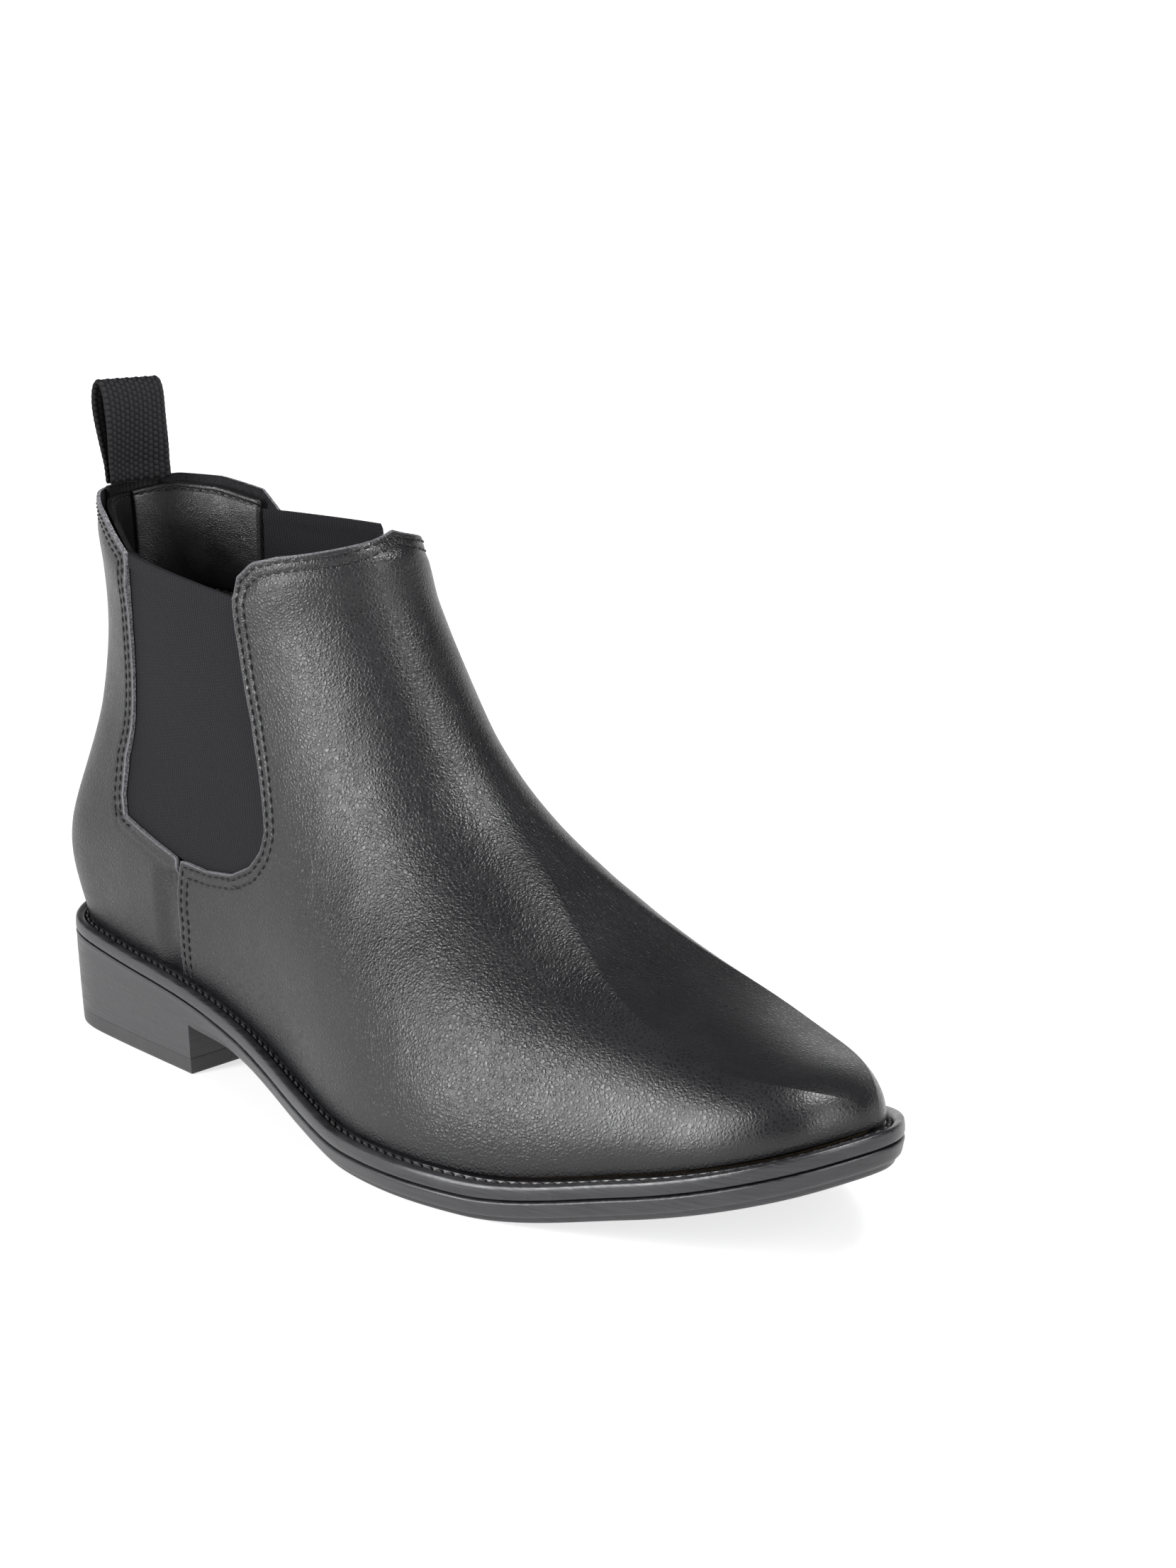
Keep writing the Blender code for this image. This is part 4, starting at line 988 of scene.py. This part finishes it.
def make_heel(mats):
    rings = []
    rng = np.random.default_rng(5)
    jitter = rng.normal(0, 1, 400)
    for k in range(HEEL_LEVELS + 1):
        s = k / HEEL_LEVELS

        def height(x, s=s):
            return TOP_PIECE + 0.02 + (sole_bottom(x) - 0.03 - TOP_PIECE) * s

        flat = ring_at(0, height, HEEL_BREAST - 0.4 + 0.4 * s)
        level = np.interp(flat[:, 2] * 6.5, np.arange(400), jitter)
        inset = 0.75 - 0.55 * s + 0.028 * level
        rings.append(inset_ring(flat, inset, HEEL_BREAST - 0.4 + 0.4 * s))
    heel = hoop("stacked_heel", rings, [mats["stack"]], "heel_stack", closed=False, sharp=60)
    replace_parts(heel, "heel_block")
    levels = [(12, 0.0, 1.2), (2.0, 0.0, 1.1), (1.35, 0.12, 0.9), (1.05, 0.45, 0.6), (0.92, 1.2, 0.5),
              (0.84, 3.2, 0.45),
              (0.8, 4.6, 0.4), (0.8, TOP_PIECE - 0.1, 0.4), (0.95, TOP_PIECE, 0.5), (12, TOP_PIECE, 0.6)]
    low = [ring_at(i, lambda x, h=h: 0 * x + h, HEEL_BREAST - back) for i, h, back in levels]
    piece = hoop("rubber_top_piece", low, [mats["top_piece"]], "top_piece_rubber", closed=False)
    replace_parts(piece, "heel_top_piece")


def inset_ring(flat, inset, x_end):
    """A ring moved inwards by its own amount at each point, square to the outline."""
    inner = rim(1.0, x_end)
    step = inner - flat[:, :2]
    step[:, 0] = np.where(flat[:, 0] > x_end - 1.0, 0.0, step[:, 0])
    return np.column_stack([flat[:, :2] + step * inset[:, None], flat[:, 2]])


def make_insole(mats):
    def raised(x):
        return sole_bottom(x) + BOARD[1] + GAP + (CUSHION + GAP) * (1 - smooth((x - 76) / 18))

    tops = [(12, 0.0), (3.6, 0.0), (3.1, 0.25), (3.0, 0.8), (3.05, 1.3), (3.3, 1.65), (4.0, SOCK),
            (14, SOCK - 0.25), (26, SOCK - 0.35)]
    rings = [ring_at(INSOLE_INSET + i, lambda x, h=h: raised(x) + h) for i, h in tops]
    sock = hoop("cloth_sock_liner", rings, [mats["sock"]], "sock_liner", closed=False)
    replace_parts(sock, "sock_liner")


# Pull loop
WEB_ACROSS, WEB_PER_MM = 110, 4.0
WEB_ROWS, WEB_PICK = 13, 1.75
SEWN_DEPTH, BACK_HEIGHT = 20.0, 128


def loop_line():
    """Mid-line of the webbing in side view: up from inside the quarter, over and down again."""
    x0, z0 = LOOP_ROOT
    k = np.linspace(0, 1, 90)
    angle = 2 * np.pi * k
    rise = (1 - np.cos(angle)) / 2
    z = z0 + (LOOP_TOP - WEBBING / 2 - z0) * rise
    spread = np.sin(angle) * (0.25 + 0.75 * rise) * (LOOP_SWELL - 0.9)
    x = x0 + WEBBING / 2 + 0.1 - spread - 0.6 * rise
    apart = 0.82 * np.where(k < 0.5, -1, 1) * (1 - smooth((z - z0) / 6))
    return np.column_stack([x + apart, z])


def make_webbing(mats):
    hoop_line = loop_line()
    half = LOOP_WIDTH / 2
    run = resample(hoop_line, 1 / WEB_PER_MM)
    ahead = unit(np.gradient(run, axis=0))
    out = np.stack([-ahead[:, 1], ahead[:, 0]], 1)
    y = np.linspace(-half, half, WEB_ACROSS)
    s = np.arange(len(run)) / WEB_PER_MM
    cols = (y + half) / LOOP_WIDTH * WEB_ROWS
    odd = np.floor(cols).astype(int) % 2
    rib = np.abs(np.sin(np.pi * cols)) ** 0.6
    pick = np.abs(np.sin(np.pi * (s[:, None] / WEB_PICK + 0.5 * odd[None]))) ** 0.7
    weave = rib[None] * (0.12 + 0.88 * pick)
    edge = np.clip((half - np.abs(y)) / 0.7, 0, 1)[None] ** 0.5
    thick = (WEBBING / 2 - 0.18) * (0.55 + 0.45 * edge) + 0.36 * weave * edge - 0.14
    z0 = LOOP_ROOT[1]
    fade = 1 - smooth((run[:, 1] - z0) / 24)
    bow = LOOP_BOW * y[None] ** 2 * fade[:, None]
    wobble = 0.25 * np.sin(s[:, None] * 0.21 + y[None] * 0.12)
    at_edge = np.sign(y) * (np.abs(y) > half - 0.4)
    bumps = 0.12 * np.abs(np.sin(np.pi * s / WEB_PICK))[:, None] * at_edge[None]
    faces_at = []
    for sign in (1, -1):
        x = run[:, None, 0] + out[:, None, 0] * thick * sign + bow + wobble * (1 - fade[:, None])
        z = run[:, None, 1] + out[:, None, 1] * thick * sign
        faces_at.append(np.stack([x, np.broadcast_to(y[None], x.shape) + bumps, z], -1))
    web = slab("webbing_pull_loop", faces_at[0], faces_at[1], [mats["webbing"]], "webbing",
               {"weave": weave}, body=None, sharp=80)
    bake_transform(web)
    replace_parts(web, "pull_loop")
    make_sewn_tail(mats)


def make_sewn_tail(mats):
    """The two layers of webbing that are sewn in between the quarter and the lining."""
    t = np.linspace(TAIL_TOP - SEWN_DEPTH / BACK_HEIGHT, TAIL_TOP + 0.012, 60)
    half = LOOP_WIDTH / 2
    share = np.linspace(0, 0.3, 60)
    a_edge = float(np.interp(half, -UPPER.face(share, 0.95)[:, 1], share))
    a = np.linspace(-a_edge, a_edge, 60)
    grid = np.stack(np.meshgrid(a, t), -1)
    cols = np.linspace(0, WEB_ROWS, 60)
    weave = np.abs(np.sin(np.pi * cols))[None] * np.ones((60, 1))
    outer = on_upper(grid, UNDER + 0.1 - 0.1 * weave)
    inner = on_upper(grid, UNDER_IN - 0.1 + 0.1 * weave)
    tail = slab("webbing_sewn_tail", outer, inner, [mats["webbing"]], "webbing", {"weave": weave})
    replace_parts(tail, "pull_loop_tail")


def make_loop_stitching(mats):
    """The box with a cross, sewn through the back of the quarter over the webbing."""
    def back_line(points):
        rows = []
        for (a0, t0), (a1, t1) in zip(points, points[1:]):
            k = np.linspace(0, 1, 30)
            rows.append(np.stack([a0 + (a1 - a0) * k, t0 + (t1 - t0) * k], 1))
        at = np.vstack(rows)
        out = on_upper(at, -0.15)
        inside = on_upper(at, 1.0)
        return np.hstack([out, unit(out - inside)])

    half = LOOP_WIDTH / 2 - 2.5
    share = np.linspace(0, 0.3, 60)
    a = float(np.interp(half, -UPPER.face(share, 0.93)[:, 1], share))
    low, high = 0.845, 0.925
    box = [(-a, low), (a, low), (a, high), (-a, high), (-a, low)]
    lines = [back_line(box), back_line([(-a, low), (a, high)]), back_line([(-a, high), (a, low)])]
    stitches("stitching_loop_box", lines, mats["thread"], "upper_leather", pitch=2.5, radius=0.27)


# Inner CAD nodes
def dress_inner(mats):
    looks = {"board": ["toe_puff", "heel_counter"], "insole": ["insole_board"], "cork": ["bottom_filler"],
             "foam": ["heel_cushion"],
             "steel": ["shank", "shank_rivet_rear", "shank_rivet_front"]}
    looks["steel"] += [f"heel_nail_{k}" for k in range(1, 6)]
    for node, key in [(node, key) for key, nodes in looks.items() for node in nodes]:
        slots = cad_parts[node].data.materials
        for i in range(len(slots)):
            slots[i] = mats[key]


# Studio
CAMERA_AT = (0.46085, -0.42425, 0.2468)
YAW, PITCH, ROLL = 0.762, 0.242, -0.007
LENS, SENSOR_HEIGHT = 55.20922, 36.0


def make_camera():
    data = bpy.data.cameras.new("camera")
    camera = bpy.data.objects.new("camera", data)
    bpy.context.scene.collection.objects.link(camera)
    ahead = Vector((-math.sin(YAW), math.cos(YAW), 0))
    right = Vector((math.cos(YAW), math.sin(YAW), 0))
    up = Vector((0, 0, 1))
    look = ahead * math.cos(PITCH) - up * math.sin(PITCH)
    top = ahead * math.sin(PITCH) + up * math.cos(PITCH)
    x_axis = right * math.cos(ROLL) + top * math.sin(ROLL)
    y_axis = top * math.cos(ROLL) - right * math.sin(ROLL)
    turn = Matrix((x_axis, y_axis, -look)).transposed()
    camera.matrix_world = Matrix.Translation(CAMERA_AT) @ turn.to_4x4()
    data.sensor_fit = "VERTICAL"
    data.sensor_height = SENSOR_HEIGHT
    data.lens = LENS
    data.clip_start = 0.01
    bpy.context.scene.camera = camera


AMBIENT = 0.12


def softbox(name, place, target, size, power):
    data = bpy.data.lights.new(name, "AREA")
    data.shape = "RECTANGLE"
    data.size, data.size_y = size
    data.energy = power
    light = bpy.data.objects.new(name, data)
    bpy.context.scene.collection.objects.link(light)
    light.location = place
    light.rotation_euler = (Vector(target) - Vector(place)).to_track_quat("-Z", "Y").to_euler()


def make_studio():
    scene = bpy.context.scene
    scene.view_settings.view_transform = "Standard"
    scene.view_settings.look = "None"
    world = bpy.data.worlds.new("studio")
    world.use_nodes = True
    world.node_tree.nodes["Background"].inputs[0].default_value = (1, 1, 1, 1)
    world.node_tree.nodes["Background"].inputs[1].default_value = AMBIENT
    scene.world = world
    softbox("left_strip", (-0.3, -1.05, 0.5), (-0.02, 0, 0.07), (0.26, 0.9), 17)
    softbox("top_box", (0.45, 0.05, 1.1), (0.05, 0, 0.05), (0.4, 0.4), 11)
    softbox("front_box", (1.05, -0.2, 0.6), (0.02, 0, 0.06), (0.3, 0.7), 5)
    make_floor()


FLOOR_REACH, WALL_TOP, SWEEP = 3.0, 1.5, 0.6


def make_floor():
    """A round pale floor that sweeps up into a low wall; its white glow fades near the wall's top."""
    profile = [(0.0, 0.0), (1.0, 0.0), (2.0, 0.0), (FLOOR_REACH, 0.0)]
    for k in range(1, 9):
        angle = math.pi / 2 * k / 8
        profile.append((FLOOR_REACH + SWEEP * math.sin(angle), SWEEP * (1 - math.cos(angle))))
    profile.append((FLOOR_REACH + SWEEP, WALL_TOP))
    turns = 2 * np.pi * np.arange(72) / 72
    points = [(r * math.cos(a), r * math.sin(a), z) for r, z in profile for a in turns]
    mesh = bpy.data.meshes.new("floor")
    mesh.from_pydata(points, [], grid_quads(len(profile), 72, wrap=True).tolist())
    s = Shader("pale_floor", (0.45, 0.45, 0.45), 0.8)
    far = s.add("ShaderNodeVectorMath", {0: s.place}, operation="LENGTH").outputs["Value"]
    s.bsdf.inputs["Emission Color"].default_value = (1, 1, 1, 1)
    height = s.add("ShaderNodeSeparateXYZ", {0: s.place}).outputs[2]
    glow = s.times(s.span(far, 0.4, 2.0, 0.7, 1.02), s.span(height, 0.7, WALL_TOP, 1.0, AMBIENT))
    s.tree.links.new(glow, s.bsdf.inputs["Emission Strength"])
    mesh.materials.append(s.finish(s.blend(s.noise(2.0, 2.0), (0.44, 0.44, 0.44), (0.47, 0.47, 0.47))))
    mesh.shade_smooth()
    floor = bpy.data.objects.new("floor", mesh)
    bpy.context.scene.collection.objects.link(floor)


def make_materials():
    return {
        "leather": leather_material(),
        "cut": cut_edge_material(),
        "flesh": flesh_material(),
        "elastic": elastic_material(),
        "webbing": webbing_material(),
        "thread": thread_material("sewing_thread", (0.007, 0.007, 0.008)),
        "waxed": thread_material("waxed_thread", (0.03, 0.03, 0.033)),
        "lining": lining_material(),
        "textile": cloth_material("textile_lining", (0.006, 0.006, 0.0065), 0.6),
        "sock": cloth_material("sock_liner_cloth", (0.008, 0.008, 0.008), 0.7),
        "welt": edge_material("welt_edge", (0.014, 0.014, 0.016), 0.3, 0.2),
        "stack": edge_material("stacked_heel_edge", (0.017, 0.017, 0.019), 0.36, 0.6),
        "rubber": edge_material("sole_rubber", (0.017, 0.017, 0.019), 0.36, 0.3),
        "top_piece": rubber_material("top_piece_rubber", (0.014, 0.014, 0.0155), 0.42),
        "board": grained_material("stiffener", (0.45, 0.38, 0.28), (0.62, 0.55, 0.43), 300.0, 0.8),
        "insole": grained_material("insole_board", (0.34, 0.23, 0.13), (0.5, 0.37, 0.23), 260.0, 0.85),
        "cork": grained_material("cork", (0.25, 0.14, 0.07), (0.5, 0.34, 0.2), 420.0, 0.9, 0.5),
        "foam": grained_material("heel_foam", (0.08, 0.08, 0.085), (0.16, 0.16, 0.165), 700.0, 0.9, 0.3),
        "steel": grained_material("inner_steel", (0.4, 0.4, 0.42), (0.6, 0.6, 0.62), 900.0, 0.35, 0.02, 1.0),
    }


def main():
    make_camera()
    make_studio()
    mats = make_materials()
    make_upper(mats)
    make_linings(mats)
    make_sole(mats)
    make_heel(mats)
    make_insole(mats)
    make_webbing(mats)
    make_loop_stitching(mats)
    dress_inner(mats)


main()
